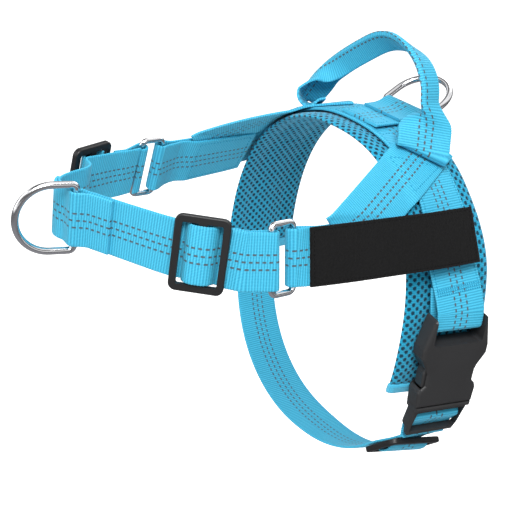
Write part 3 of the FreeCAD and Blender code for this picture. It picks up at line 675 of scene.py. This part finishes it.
def side_parts(side):
    flip = mirror if side == "right" else np.asarray
    points, across = side_strap_points()
    strap = Strap(side + "_side_webbing", flip(points), flip(across))
    obj = strap.build(side + "_side_strap")
    panel_points, panel_across = side_run(-118.0, 15.0, WEB_T / 2 + PANEL_T / 2 + GAP)
    width = PANEL_W if side == "left" else PANEL_W_RIGHT
    panel_points = panel_points - panel_across * (PANEL_W - width) * 0.45
    panel = Strap(side + "_loop_panel", flip(panel_points), flip(panel_across), width, PANEL_T)
    panel_obj = pile_panel(panel)
    replace(panel_obj, "loop_panel", side + "_patch")
    outward = 1 if side == "left" else -1
    thread = Thread(side + "_panel_stitches", THREAD_BLACK)
    seam = box_corners(2 - width / 2, width / 2 - 2, PANEL_SEAM_IN, panel.along[-1] - PANEL_SEAM_IN)
    thread.on_strap(panel, seam, side=outward, radius=PANEL_THREAD_R)
    blue = Thread(side + "_side_stitches", THREAD_BLUE_SHADED)
    inner = np.argmin(np.abs(strap.points[:, 0] - INNER_END)[:len(strap.points) // 2])
    ring = strap.along[np.argmin(strap.points[:, 0])]
    start = strap.along[inner]
    blue.on_strap(strap, box_corners(-16.0, 16.0, start + 3.0, start + 54.0), side=outward)
    for row in (ring + 17.0, ring + 19.0):
        blue.on_strap(strap, [(-16.5, row), (16.5, row)], side=outward)
    ride_all("harness", obj, panel_obj, thread.build(), blue.build())


def pile_panel(panel):
    """Loop panel with a lumpy, fuzzy pile face."""
    rows, cols = panel.grid.shape[:2]
    thick = panel.thick * np.broadcast_to(EDGE_THIN, (rows, cols)).copy()
    thick += rng.normal(0, 0.10, (rows, cols)) * (EDGE_THIN > 0.9)
    verts, faces, marks = closed_sheet(panel.grid, thick, np.zeros((rows, cols, 3)))
    verts = verts + rng.normal(0, 0.03, verts.shape)
    return make_mesh(panel.name, PILE, verts, faces, marks)


# ---------------- shoulder straps
def arc_table():
    theta = np.linspace(0, 90, 361)
    points, _ = girth_point(theta)
    length = np.concatenate([[0], np.cumsum(np.linalg.norm(np.diff(points, axis=0), axis=1))])
    return length, theta


ARC_LENGTH, ARC_THETA = arc_table()
SHOULDER_SLOPE = math.radians(29.0)
SHOULDER_CROSS = 56.5  # from the top, along the girth, to where the strap crosses it
SHOULDER_FROM, SHOULDER_TO = -104.0, 22.0


def shoulder_surface(u, v, lift):
    """u along the left shoulder strap from where it crosses the girth, v across it."""
    u, v = np.broadcast_arrays(np.asarray(u, float), np.asarray(v, float))
    x = u * math.cos(SHOULDER_SLOPE) + v * math.sin(SHOULDER_SLOPE) - 1.3
    distance = SHOULDER_CROSS - u * math.sin(SHOULDER_SLOPE) + v * math.cos(SHOULDER_SLOPE)
    theta = np.interp(distance, ARC_LENGTH, ARC_THETA)
    sink = 1.9 * smooth(-x, 20.5, 33.0)
    lift_here = lift - sink + 0.9 * smooth(theta, 34, 46) * smooth(x, -20.5, -8.0)
    point, _ = girth_point(theta, lift_here)
    point[..., 0] = x
    y, z, tilt = side_station(x)
    tilt = np.radians(tilt)
    depth = WEB_T / 2 + 2 * GAP + (GAP + WEB_T - lift)
    under = -y + (point[..., 2] - z) * np.tan(tilt) + depth / np.cos(tilt)
    tucked = np.maximum(point[..., 1], under)
    covered = smooth(z + WEB_W / 2 + 7.0 - point[..., 2], 0.0, 7.0) * smooth(-x, 30.0, 38.0)
    point[..., 1] = mix(point[..., 1], tucked, covered)
    return point


class Laid(Strap):
    """Strap laid on a surface: its grid is given instead of following one centre line."""

    def __init__(self, name, grid_of, u0, u1, width=WEB_W, thick=WEB_T):
        count = int((u1 - u0) / RIB) + 1
        self.name, self.width, self.thick = name, width, thick
        self.along = np.linspace(0, u1 - u0, count)
        self.grid_of, self.u0 = grid_of, u0
        u = (self.along + u0)[:, None]
        self.grid = grid_of(u, COLUMNS[None] * width / 2)
        self.points = grid_of(self.along + u0, 0 * self.along)

    def at(self, u, v, side=1):
        u, v = np.asarray(u, float), np.asarray(v, float) + self.u0
        step = 0.5
        middle = self.grid_of(v, u)
        d_along = self.grid_of(v + step, u) - self.grid_of(v - step, u)
        d_across = self.grid_of(v, u + step) - self.grid_of(v, u - step)
        normal = unit(np.cross(d_along, d_across)) * side
        return middle + normal * self.thick / 2, normal


def shoulder_parts(side):
    sign = -1.0 if side == "right" else 1.0

    def grid_of(u, v):
        return shoulder_surface(u, v, GAP + WEB_T / 2) * np.array([1, sign, 1])

    strap = Laid(side + "_shoulder_webbing", grid_of, SHOULDER_FROM, SHOULDER_TO)
    obj = strap.build(side + "_shoulder_strap")
    middle = -8.0 - SHOULDER_FROM
    normal = strap.at(0.0, middle)[1]
    outward = 1 if np.dot(normal, [0, -0.5 * sign, 0.9]) > 0 else -1
    thread = Thread(side + "_shoulder_stitches", THREAD_BLUE_SHADED)
    corner = (-15, middle - 14)
    thread.on_strap(strap, [corner, (13, middle - 24), (15.5, middle + 10), corner], side=outward)
    ride_all("harness", obj, thread.build())


# ---------------- handle
LEFT_END = (-1.0, 17.5, 2.6, 20.0)  # fold along the shoulder strap, skew, bend radius, tail length
RIGHT_END = (-7.0, 0.0, 5.0, 9.0)
GRIP_CONTROLS = [(3, -52, 146), (6, -49, 158), (7, -44, 173), (7, -32, 185.5), (7, -14, 191), (7, 5, 188),
                 (7, 27, 173.5), (5, 46, 158), (1, 60, 147)]
# Places along the arch, 0 at the left bend and 1 at the right one, between which things change.
NEAR_TURN = (0.03, 0.22)  # the left end twists into the grip and folds
FAR_TURN, FAR_OPEN = (0.84, 1.16), (0.77, 1.11)  # the far end untwists and unfolds
TILT_IN, TILT_OUT, FAR_TILT = (0.72, 0.92), (1.0, 1.14), math.radians(20.0)
ROLL_AT, ROLL_NEAR, ROLL_MORE = (0.3, 0.75), 8, 60  # degrees the folded grip is rolled
FOLD_R, FOLD_GAP, FOLD_DROP = 2.2, 1.25, 9.0  # bend, half gap between halves, set inwards


def handle_end(fold_u, skew, bend_r, tail_length):
    """Turned under end on the left shoulder strap: centre points and width direction."""
    lift = GAP + WEB_T
    a = math.radians(skew)
    fold = shoulder_surface(fold_u, 0.0, lift)
    back = unit(shoulder_surface(fold_u + 2 * math.cos(a), -2 * math.sin(a), lift) - fold)
    across = shoulder_surface(fold_u + 2 * math.sin(a), 2 * math.cos(a), lift) - fold
    across = unit(across - back * np.dot(across, back))
    outward = unit(np.cross(back, across))
    outward = outward if outward[2] > 0 else -outward
    lift = GAP + WEB_T / 2 + 0.2
    centre = fold + outward * (lift + bend_r)
    tail = fold + outward * lift + back * np.linspace(tail_length, 2, 10)[:, None]
    a = np.radians(np.linspace(0, 135, 14))[:, None]
    bend = centre - back * bend_r * np.sin(a) - outward * bend_r * np.cos(a)
    return np.vstack([tail, bend]), across


def square_to(turn, rows):
    """Unit rows with their part along the strap taken out."""
    return unit(rows - turn * np.sum(rows * turn, 1, keepdims=True))


def handle_ends_width(t, turn, short, across, far_across):
    """Width direction the ends ask for, on the grip's side of the strap at each end."""
    end = square_to(turn, np.where(t[:, None] < 0.5, across, far_across))
    near, far = (t > 0.05) & (t < 0.2), (t > 0.75) & (t < 0.95)
    for rows, half in ((near, t < 0.5), (far, t >= 0.5)):
        if np.sum(end[rows] * short[rows]) < 0:
            end[half] *= -1
    return end


def handle():
    """Webbing arch: turned-under ends on the shoulder straps, folded lengthwise in the grip."""
    left, across = handle_end(*LEFT_END)
    right, far_across = handle_end(*RIGHT_END)
    right, far_across = mirror(right[::-1]), mirror(far_across)
    middle = curve([left[-1]] + GRIP_CONTROLS + [right[0]])[1:-1]
    points = relax(np.vstack([left, middle, right]), 3)
    t = (np.arange(len(points)) - len(left)) / (len(middle) - 1.0)
    strap = Strap("handle_webbing", points, np.tile([1.0, 0, 0], (len(points), 1)), shape=t)
    t, turn = strap.shape, strap.turn
    roll = np.radians(ROLL_NEAR + ROLL_MORE * smooth(t, *ROLL_AT))
    out = unit(strap.points * [0, 1, 1] - [0, 0, 120.0])
    grip = np.cos(roll)[:, None] * np.array([1.0, 0, 0]) - out * np.sin(roll)[:, None]
    grip = square_to(turn, grip)
    short = np.cross(grip, turn)
    end = handle_ends_width(t, turn, short, across, far_across)
    angle = np.arctan2(np.sum(end * grip, 1), np.sum(end * short, 1))
    angle = angle * (1 - smooth(t, *NEAR_TURN) * (1 - smooth(t, *FAR_TURN)))
    angle = angle + FAR_TILT * smooth(t, *TILT_IN) * (1 - smooth(t, *TILT_OUT))
    side = short * np.cos(angle)[:, None] + grip * np.sin(angle)[:, None]
    inward = grip * np.cos(angle)[:, None] - short * np.sin(angle)[:, None]
    closed = smooth(t, *NEAR_TURN) * (1 - smooth(t, *FAR_OPEN))
    fold = closed[:, None] * math.pi / 2
    u = (COLUMNS * WEB_W / 2)[None, :]
    reach = np.sqrt(u ** 2 + FOLD_R ** 2) - FOLD_R
    wide = u * np.cos(fold) + FOLD_GAP * np.tanh(u / 2.0) * (1 - np.cos(fold))
    deep = reach * np.sin(fold) - FOLD_DROP * closed[:, None]
    strap.grid = strap.points[:, None] + side[:, None] * wide[..., None] + inward[:, None] * deep[..., None]
    return strap


# ---------------- chest strap
# plan view of the chest strap, as (x, y), from the left ring round to the right one
CHEST_START, CHEST_BEND = (-149.0, -78.4), (-160.0, -75.6)
LEFT_STRAIGHT = ((-165.0, -71.2), (-196.0, -43.9))
RIGHT_STRAIGHT = ((-196.0, 65.5), (-170.0, 73.9))
NOSE = [(-210.0, -21.0), (-222.0, 1.0), (-229.0, 14.0), (-233.5, 21.5), (-235.0, 27.0), (-233.0, 33.0),
        (-226.0, 38.5), (-213.0, 44.0), (-206.0, 47.5), (-201.5, 52.0), (-200.0, 57.5), (-199.2, 62.0)]
FRONT_X, CHEST_RISE = -236.0, 4.0


class ChestLine:
    """The chest strap's centre line from the left link ring round the front to the right one."""

    def __init__(self):
        start = [CHEST_START, CHEST_BEND]
        end = [(x, -y) for x, y in start[::-1]]
        line_left = [tuple(mix(*LEFT_STRAIGHT, k)) for k in (0.0, 0.33, 0.67, 1.0)]
        line_right = [tuple(mix(*RIGHT_STRAIGHT, k)) for k in (0.0, 0.5, 1.0)]
        flat = curve(start + line_left + NOSE + line_right + end, 10)
        self.flat, self.length = resample(np.column_stack([flat, 0 * flat[:, 0]]), 1.0)
        self.along = tangents(self.flat)
        self.out = np.stack([-self.along[:, 1], self.along[:, 0], 0 * self.length], -1)
        t = (RING_FRONT_BAR[0] - self.flat[:, 0]) / (RING_FRONT_BAR[0] - FRONT_X)
        self.height = RING_FRONT_BAR[2] + CHEST_RISE * smooth(t, 0, 1)
        self.total = self.length[-1]

    def run(self, offset=0.0, start=0.0, end=1000.0):
        keep = (self.length >= start) & (self.length <= end)
        tilt = np.radians(RING_LEAN * (1 - smooth(-self.flat[:, 0], 150, 230)))[:, None]
        points = self.flat + UP * self.height[:, None] + self.out * offset
        across = unit(UP - self.out * np.sin(tilt))
        return points[keep], across[keep]

    def nearest(self, point):
        """Length along the line at its point nearest to the given one."""
        gap = np.linalg.norm(self.flat[:, :2] - point[:2], axis=1)
        return self.length[np.argmin(gap)]


def chest_parts():
    line = ChestLine()
    points, across = line.run()
    strap = Strap("chest_webbing", points, across)
    obj = strap.build("chest_strap")
    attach(obj, "chest")
    tab, thread = front_tab(line)
    ride_all("chest", tab, thread, *[chest_loop(line, side) for side in ("left", "right")])


def chest_loop(line, side):
    """Outer layer from an adjuster to the front bar of a link ring and round it."""
    loop = bar_loop(RING_FRONT_BAR, -1)
    loop = np.vstack([loop[:1] + [-2.4, 0, 0], loop])
    lean_up = np.tile(RING_TILT, (len(loop), 1))
    offset = WEB_T + 2 * GAP
    if side == "left":
        outer, up_outer = line.run(offset, 9.5, 22.5)
    else:
        outer, up_outer = line.run(offset, line.total - 22.5, line.total - 9.5)
        outer, up_outer, loop, lean_up = outer[::-1], up_outer[::-1], mirror(loop), mirror(lean_up)
    strap = Strap(side + "_chest_loop_webbing", relax(np.vstack([loop, outer]), 1),
                  np.vstack([lean_up, up_outer]))
    obj = strap.build(side + "_chest_loop")
    return obj


def front_tab(line):
    """Cover layer humped over the lead ring's bar, sewn down beside it with a box and cross of stitches."""
    at = line.nearest(FRONT_BAR)
    place = np.argmin(np.abs(line.length - at))
    along, out = line.along[place], line.out[place]
    radius = LEAD_WIRE_R + 0.5 + WEB_T / 2
    before, up_before = line.run(WEB_T + GAP, at - 26.0, at - 7.5)
    after, up_after = line.run(WEB_T + GAP, at + 7.5, at + 27.0)
    a = np.radians(np.linspace(-52, 52, 11))[:, None]
    hump = FRONT_BAR + out * radius * np.cos(a) + along * radius * np.sin(a)
    points = relax(np.vstack([before, hump, after]), 2)
    across = np.vstack([up_before, np.tile(UP, (len(hump), 1)), up_after])
    strap = Strap("front_tab_webbing", points, across, WEB_W - 1.0, 2.2)
    obj = strap.build("front_ring_tab")
    thread = Thread("front_tab_stitches", THREAD_BLUE_SHADED)
    for corners in (box_corners(-15.5, 15.5, 4.0, 18.0), [(-15.5, 4.0), (15.5, 18.0)],
                    [(-15.5, 18.0), (15.5, 4.0)]):
        thread.on_strap(strap, corners)
    return obj, thread.build()


# ---------------- adjusters
GLIDE_T = 4.4
WRAP_HALF, WRAP_T, WRAP_DIP = 9.6, 1.7, 0.4


def glide_wrap(node, body, along, across, out):
    """Webbing over the middle bar of an adjuster, dipping into a slot on each side."""
    low, high = node_box(node)
    middle = (low + high) / 2 - out * GLIDE_T / 2
    top = GLIDE_T + GAP + WEB_T / 2
    x = np.linspace(-1, 1, 25)
    profile = top * (1 - np.abs(x) ** 3.2) - WRAP_DIP * np.abs(x) ** 3
    points = middle + along * (x * WRAP_HALF)[:, None] + out * profile[:, None]
    strap = Strap(node + "_webbing", points, np.tile(across, (25, 1)), WEB_W - 0.6, WRAP_T)
    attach(strap.build(node + "_wrap"), body)


def wraps():
    for name, body in (("left_adjuster", "left_slide"), ("right_adjuster", "right_slide"),
                       ("belly_adjuster", "belly_slide")):
        along = unit(joint(name + "_slide")["axis"])
        across, out = plate_axes(name, along)
        glide_wrap(name, body, along, across, out)


def plate_axes(node, along):
    """Width direction and outward normal of a flat CAD plate whose length direction is known."""
    points = np.array([v.co for v in frame["nodes"][node].data.vertices]) / MM
    middle = (points.max(0) + points.min(0)) / 2
    spread = np.linalg.svd(points - points.mean(0), full_matrices=False)[2]
    out = unit(spread[2] - along * np.dot(spread[2], along))
    if np.dot(out, middle * [1, 1, 0.6]) < 0:
        out = -out
    return unit(np.cross(out, along)), out


# ---------------- back tab
def back_tab():
    radius = LEAD_WIRE_R + 0.5 + WEB_T / 2
    surface = HALF_Z + GAP + WEB_T / 2
    bar = BACK_BAR
    low = [(-16, surface), (-8, surface), (6, surface), (bar[0] - 9, surface),
           (bar[0] - 3.5, bar[2] - radius + GAP)]
    a = np.radians(np.linspace(-75, 125, 14))
    turn = list(zip(bar[0] + radius * np.cos(a), bar[2] + radius * np.sin(a)))
    top = [(bar[0] - 8.5, surface + WEB_T + 1.2), (bar[0] - 14.0, surface + WEB_T + GAP),
           (bar[0] - 23.0, surface + WEB_T + GAP)]
    flat = np.array(low + turn + top)
    points = np.column_stack([flat[:, 0], 0 * flat[:, 0] + bar[1], flat[:, 1]])
    strap = Strap("back_tab_webbing", relax(resample(points, 1.5)[0], 3), [0.0, 1.0, 0.0])
    thread = Thread("back_tab_stitches", THREAD_BLUE_SHADED)
    end = strap.along[-1]
    thread.on_strap(strap, box_corners(-16, 16, end - 14.0, end - 2.5))
    thread.on_strap(strap, box_corners(-16, 16, 2.5, 13.0))
    ride_all("harness", strap.build("back_ring_tab"), thread.build())


# ---------------- belly strap
BELLY_STRAIGHT_FROM = 145.0
BELLY_STRAIGHT_TO = BUCKLE_AT - BUCKLE_N * 12.4 - UP * 78.0
SEAM_ANGLE = 262.0
LEAN_Z = -44.0  # the buckle's plug leans about this height


def plug_bar_point():
    a = math.radians(PLUG_LEAN)
    drop = PLUG_BAR_Z - LEAN_Z
    return BUCKLE_AT + BUCKLE_N * drop * math.sin(a) + UP * (LEAN_Z + drop * math.cos(a))


def belly_strap():
    """From the right seam under the belly, up to the plug's bar, over it and back down."""
    points, across = girth_run(SEAM_ANGLE - 0.4, BELLY_STRAIGHT_FROM, -WEB_T / 2)
    a = math.radians(PLUG_LEAN)
    down = -UP * math.cos(a) - BUCKLE_N * math.sin(a)
    out = BUCKLE_N * math.cos(a) - UP * math.sin(a)
    bar, radius = plug_bar_point(), BAR_R + GAP + WEB_T / 2
    slope = unit(BELLY_STRAIGHT_TO - points[-1])
    run = curve([BELLY_STRAIGHT_TO, BELLY_STRAIGHT_TO + slope * 2, bar + down * 13.0 - out * 4.3,
                 bar - out * radius + down * 1.0], 8)
    loop = half_turn(bar, -out, -down, radius, 0, 180)
    tail = np.array([bar + out * (radius - 0.3) + down * 3.0, bar + down * 8.0 - out * 0.7,
                     bar + down * 10.5 - out * 1.6, bar + down * 17.0 - out * 1.4])
    ends = np.vstack([run, loop, tail])
    strap = Strap("belly_webbing", relax(np.vstack([points, ends]), 2),
                  np.vstack([across, np.tile(BUCKLE_W, (len(ends), 1))]))
    obj = strap.build("belly_strap")
    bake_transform(obj)


# ---------------- pad
PAD_LEFT_END = 106.0
SEAM_U = 17.0  # the webbing's seams, across the pad
SIM_SCALE = 0.01  # the sheet is simulated ten times its real size
SIM_FRAMES = 24
SLACK = 0.05  # extra cloth, as a part of its size
HOLE_DEPTH = 0.9
PAD_T = PAD_IN - WEB_T - GAP


def padded(name, start, end, width, step, material, puff):
    """Padded strip round the inside of the loop; puff gives the thickness and hole of each place."""
    theta = np.linspace(start, end, 800)
    line, normal = girth_point(theta, -WEB_T - GAP - PAD_T / 2 + 0 * theta)
    line, across, normal, along = resample(line, step, girth_across(theta, normal), normal)
    u = np.linspace(-width / 2, width / 2, int(width / step) + 1)
    grid = line[:, None] + across[:, None] * u[None, :, None]
    normals = np.repeat(unit(normal)[:, None], len(u), 1)
    uu, vv = np.meshgrid(u, along)
    thick, hole = puff(uu, vv, along[-1])
    front, back = (np.stack([uu, vv, mark], -1) for mark in (0 * uu, hole))
    verts, faces, marks = closed_sheet(grid, thick - 2 * HOLE_DEPTH * hole, front, normals, back)
    return make_mesh(name, material, verts, faces, marks)


def quilted_heights(length, width, step=4.0):
    """Cloth simulation of the padded sheet laid flat: how far each place puffs out, 0 to 1.

    The sheet is held at its edges and along the two lines where the webbing is sewn on, a
    little slack is let in, and air pressure lifts the rest.
    """
    rows, cols = int(length / step) + 1, int(width / step) + 1
    u = np.linspace(-width / 2, width / 2, cols)
    v = np.linspace(0, length, rows)
    verts = [(x * SIM_SCALE, y * SIM_SCALE, 0.0) for y in v for x in u]
    quads = [[i * cols + j, i * cols + j + 1, (i + 1) * cols + j + 1, (i + 1) * cols + j]
             for i in range(rows - 1) for j in range(cols - 1)]
    mesh = bpy.data.meshes.new("quilt")
    mesh.from_pydata(verts, [], quads)
    obj = bpy.data.objects.new("quilt", mesh)
    bpy.context.scene.collection.objects.link(obj)
    seam = np.abs(u)[np.argsort(np.abs(np.abs(u) - SEAM_U))[:2]].mean()
    held = [i * cols + j for i in range(rows) for j in range(cols)
            if i in (0, rows - 1) or j in (0, cols - 1) or abs(abs(u[j]) - seam) < step / 3]
    obj.vertex_groups.new(name="held").add(held, 1.0, "REPLACE")
    cloth = obj.modifiers.new("cloth", "CLOTH").settings
    cloth.quality, cloth.mass, cloth.air_damping = 6, 0.3, 2.0
    cloth.tension_stiffness = cloth.compression_stiffness = 12.0
    cloth.bending_stiffness = 0.4
    cloth.vertex_group_mass = "held"
    cloth.shrink_min = -SLACK
    cloth.use_pressure = True
    cloth.uniform_pressure_force = 4.0
    cloth.effector_weights.gravity = 0.0
    scene = bpy.context.scene
    for frame_number in range(1, SIM_FRAMES + 1):
        scene.frame_set(frame_number)
    settled = obj.evaluated_get(bpy.context.evaluated_depsgraph_get()).data
    height = np.abs(np.array([vert.co.z for vert in settled.vertices])).reshape(rows, cols)
    bpy.data.objects.remove(obj)
    scene.frame_set(1)
    return u, v, np.clip(height / np.percentile(height, 92), 0, 1.1)


def sample(table, u, v):
    """Values between the rows and columns of a table from quilted_heights."""
    us, vs, height = table
    j = np.clip((u - us[0]) / (us[1] - us[0]), 0, len(us) - 1.001)
    i = np.clip((v - vs[0]) / (vs[1] - vs[0]), 0, len(vs) - 1.001)
    j0, i0 = j.astype(int), i.astype(int)
    fj, fi = j - j0, i - i0
    low = height[i0, j0] * (1 - fj) + height[i0, j0 + 1] * fj
    high = height[i0 + 1, j0] * (1 - fj) + height[i0 + 1, j0 + 1] * fj
    return low * (1 - fi) + high * fi


def pad_puff(width):
    def puff(u, v, total):
        table = quilted_heights(total, width)
        edge = np.clip(1 - np.abs(u) / (width / 2), 0, 1)
        rounded = np.sqrt(1 - (1 - np.clip(edge * 6, 0, 1)) ** 2)
        puffed = 0.55 + 0.45 * sample(table, u, v)
        thick = PAD_T * (0.25 + 0.75 * rounded) * puffed
        row = np.round(v / (HOLE_PITCH / 2))
        shift = np.where(np.mod(row, 2) == 0, 0.0, HOLE_PITCH / 2)
        du = np.mod(u - shift + HOLE_PITCH / 2, HOLE_PITCH) - HOLE_PITCH / 2
        distance = np.hypot(du, (v - row * HOLE_PITCH / 2) * 0.85)
        return thick, (1 - smooth(distance, 0.8, 1.5)) * (edge > 0.05)
    return puff


def hem_puff(u, v, total):
    along = np.clip(np.minimum(v, total - v) / 1.6, 0, 1)
    rounded = np.sqrt(1 - (1 - along) ** 2)
    edge = np.clip((1 - np.abs(u) / np.abs(u).max()) * 12, 0, 1)
    thick = (PAD_T + 0.5) * (0.3 + 0.7 * rounded) * (0.4 + 0.6 * np.sqrt(edge))
    return thick, 0 * u


def pads():
    pad = padded("girth_pad_mesh", -97, PAD_LEFT_END, PAD_W, 0.95, PAD_MESH, pad_puff(PAD_W))
    replace(pad, "pad_mesh", "girth_pad")
    ride_all("harness", pad)
    for name, start, end in (("pad_binding_left", PAD_LEFT_END + 0.3, PAD_LEFT_END + 4.2),
                             ("pad_binding_right", -101.2, -97.3)):
        hem = padded(name + "_cloth", start, end, PAD_W + 0.6, 0.6, BINDING, hem_puff)
        replace(hem, "binding", name)
        ride_all("harness", hem)


# ---------------- scene
def show_cad(nodes, material):
    for name in nodes:
        obj = frame["nodes"][name]
        obj.data.materials.clear()
        obj.data.materials.append(material)
        obj.data.polygons.foreach_set("use_smooth", [True] * len(obj.data.polygons))


SKY, KEY_POWER, FILL_POWER, BACK_POWER = 0.52, 35.0, 4.5, 5.0


def camera(scene):
    """The photo's view of the harness."""
    right = Vector((0.80227734, -0.58472864, 0.12018104))
    upward = Vector((0.16145212, 0.40636336, 0.89933422))
    back = Vector((-0.57470365, -0.70211198, 0.42042179))
    data = bpy.data.cameras.new("view")
    data.lens, data.sensor_width = 78.1, 36.0
    view = bpy.data.objects.new("view", data)
    turn = Matrix((right, upward, back)).transposed().to_4x4()
    view.matrix_world = Matrix.Translation(Vector((-0.5462, -0.5543, 0.3712))) @ turn
    scene.collection.objects.link(view)
    scene.camera = view


def light(scene):
    """White studio and three soft lamps aimed at the harness."""
    studio_world(scene)
    scene.view_settings.view_transform = "Standard"
    lamps = [("key", (-0.7, -0.7, 1.3), 0.8, KEY_POWER), ("fill", (-1.2, 0.5, 0.5), 0.9, FILL_POWER),
             ("back", (0.9, 0.5, 0.9), 0.8, BACK_POWER)]
    for name, place, size, power in lamps:
        area = bpy.data.lights.new(name, "AREA")
        area.shape, area.size, area.energy = "SQUARE", size, power
        lamp = bpy.data.objects.new(name, area)
        lamp.location = place
        lamp.rotation_euler = (-Vector(place)).to_track_quat("-Z", "Y").to_euler()
        scene.collection.objects.link(lamp)


def studio_world(scene):
    """White to the camera, softer as light, and banded in reflections."""
    world = bpy.data.worlds.new("studio")
    world.use_nodes = True
    tree = world.node_tree
    n = Nodes("studio", tree)
    path = n.add("LightPath")
    split = n.add("SeparateXYZ")
    n.link(n.add("TexCoord").outputs["Generated"], split.inputs[0])
    slant = n.math("MULTIPLY_ADD", split.outputs[0], 1.3, n.times(split.outputs[2], 2.0))
    band = n.math("POWER", n.wave(slant, 1.7), 1.6)
    shine = n.math("MULTIPLY_ADD", band, 0.95, 0.10)
    dome = n.math("MULTIPLY_ADD", split.outputs[2], 0.35 * SKY, SKY)
    glossy = path.outputs["Is Glossy Ray"]
    value = n.plus(n.times(glossy, shine), n.times(n.math("SUBTRACT", 1.0, glossy), dome))
    value = n.math("MAXIMUM", value, path.outputs["Is Camera Ray"])
    n.link(value, tree.nodes["Background"].inputs[0])
    scene.world = world


def floor():
    """Pale ground well below the harness, which hangs in the air as it does in the photo."""
    low = cad_bounds[0][2] - 0.45
    mesh = bpy.data.meshes.new("floor")
    s = 6.0
    mesh.from_pydata([(-s, -s, low), (s, -s, low), (s, s, low), (-s, s, low)], [], [[0, 1, 2, 3]])
    obj = bpy.data.objects.new("floor", mesh)
    bpy.context.scene.collection.objects.link(obj)
    n = Nodes("floor")
    cloud = n.noise(n.object_space(), 3.0, 2.0)
    path = n.add("LightPath")
    pale = n.blend(cloud, (0.93, 0.93, 0.93), (0.95, 0.95, 0.95))
    # Dark grey to glossy rays only: painted dark reflection of the floor in the metal rings.
    n.set(Base_Color=n.blend(path.outputs["Is Glossy Ray"], pale, (0.16, 0.16, 0.17)), Roughness=0.9,
          Emission_Color=(1.0, 1.0, 1.0))
    n.set(Emission_Strength=n.times(path.outputs["Is Camera Ray"], 0.6))
    obj.data.materials.append(n.material)


def main():
    girth = girth_webbing()
    ride_all("harness", girth.build("girth_webbing"), girth_stitches(girth))
    pads()
    for side in ("left", "right"):
        side_parts(side)
        shoulder_parts(side)
    obj = handle().build("handle_grip", "left_handle_end", "right_handle_end")
    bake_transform(obj)
    back_tab()
    chest_parts()
    belly_strap()
    wraps()
    show_cad(["left_link_ring", "right_link_ring", "front_lead_ring", "back_lead_ring"], CHROME)
    show_cad(["buckle_socket", "buckle_plug", "buckle_arm_front", "buckle_arm_rear"], BUCKLE)
    show_cad(["left_adjuster", "right_adjuster", "belly_adjuster"], GLIDE)
    floor()
    camera(bpy.context.scene)
    light(bpy.context.scene)


main()
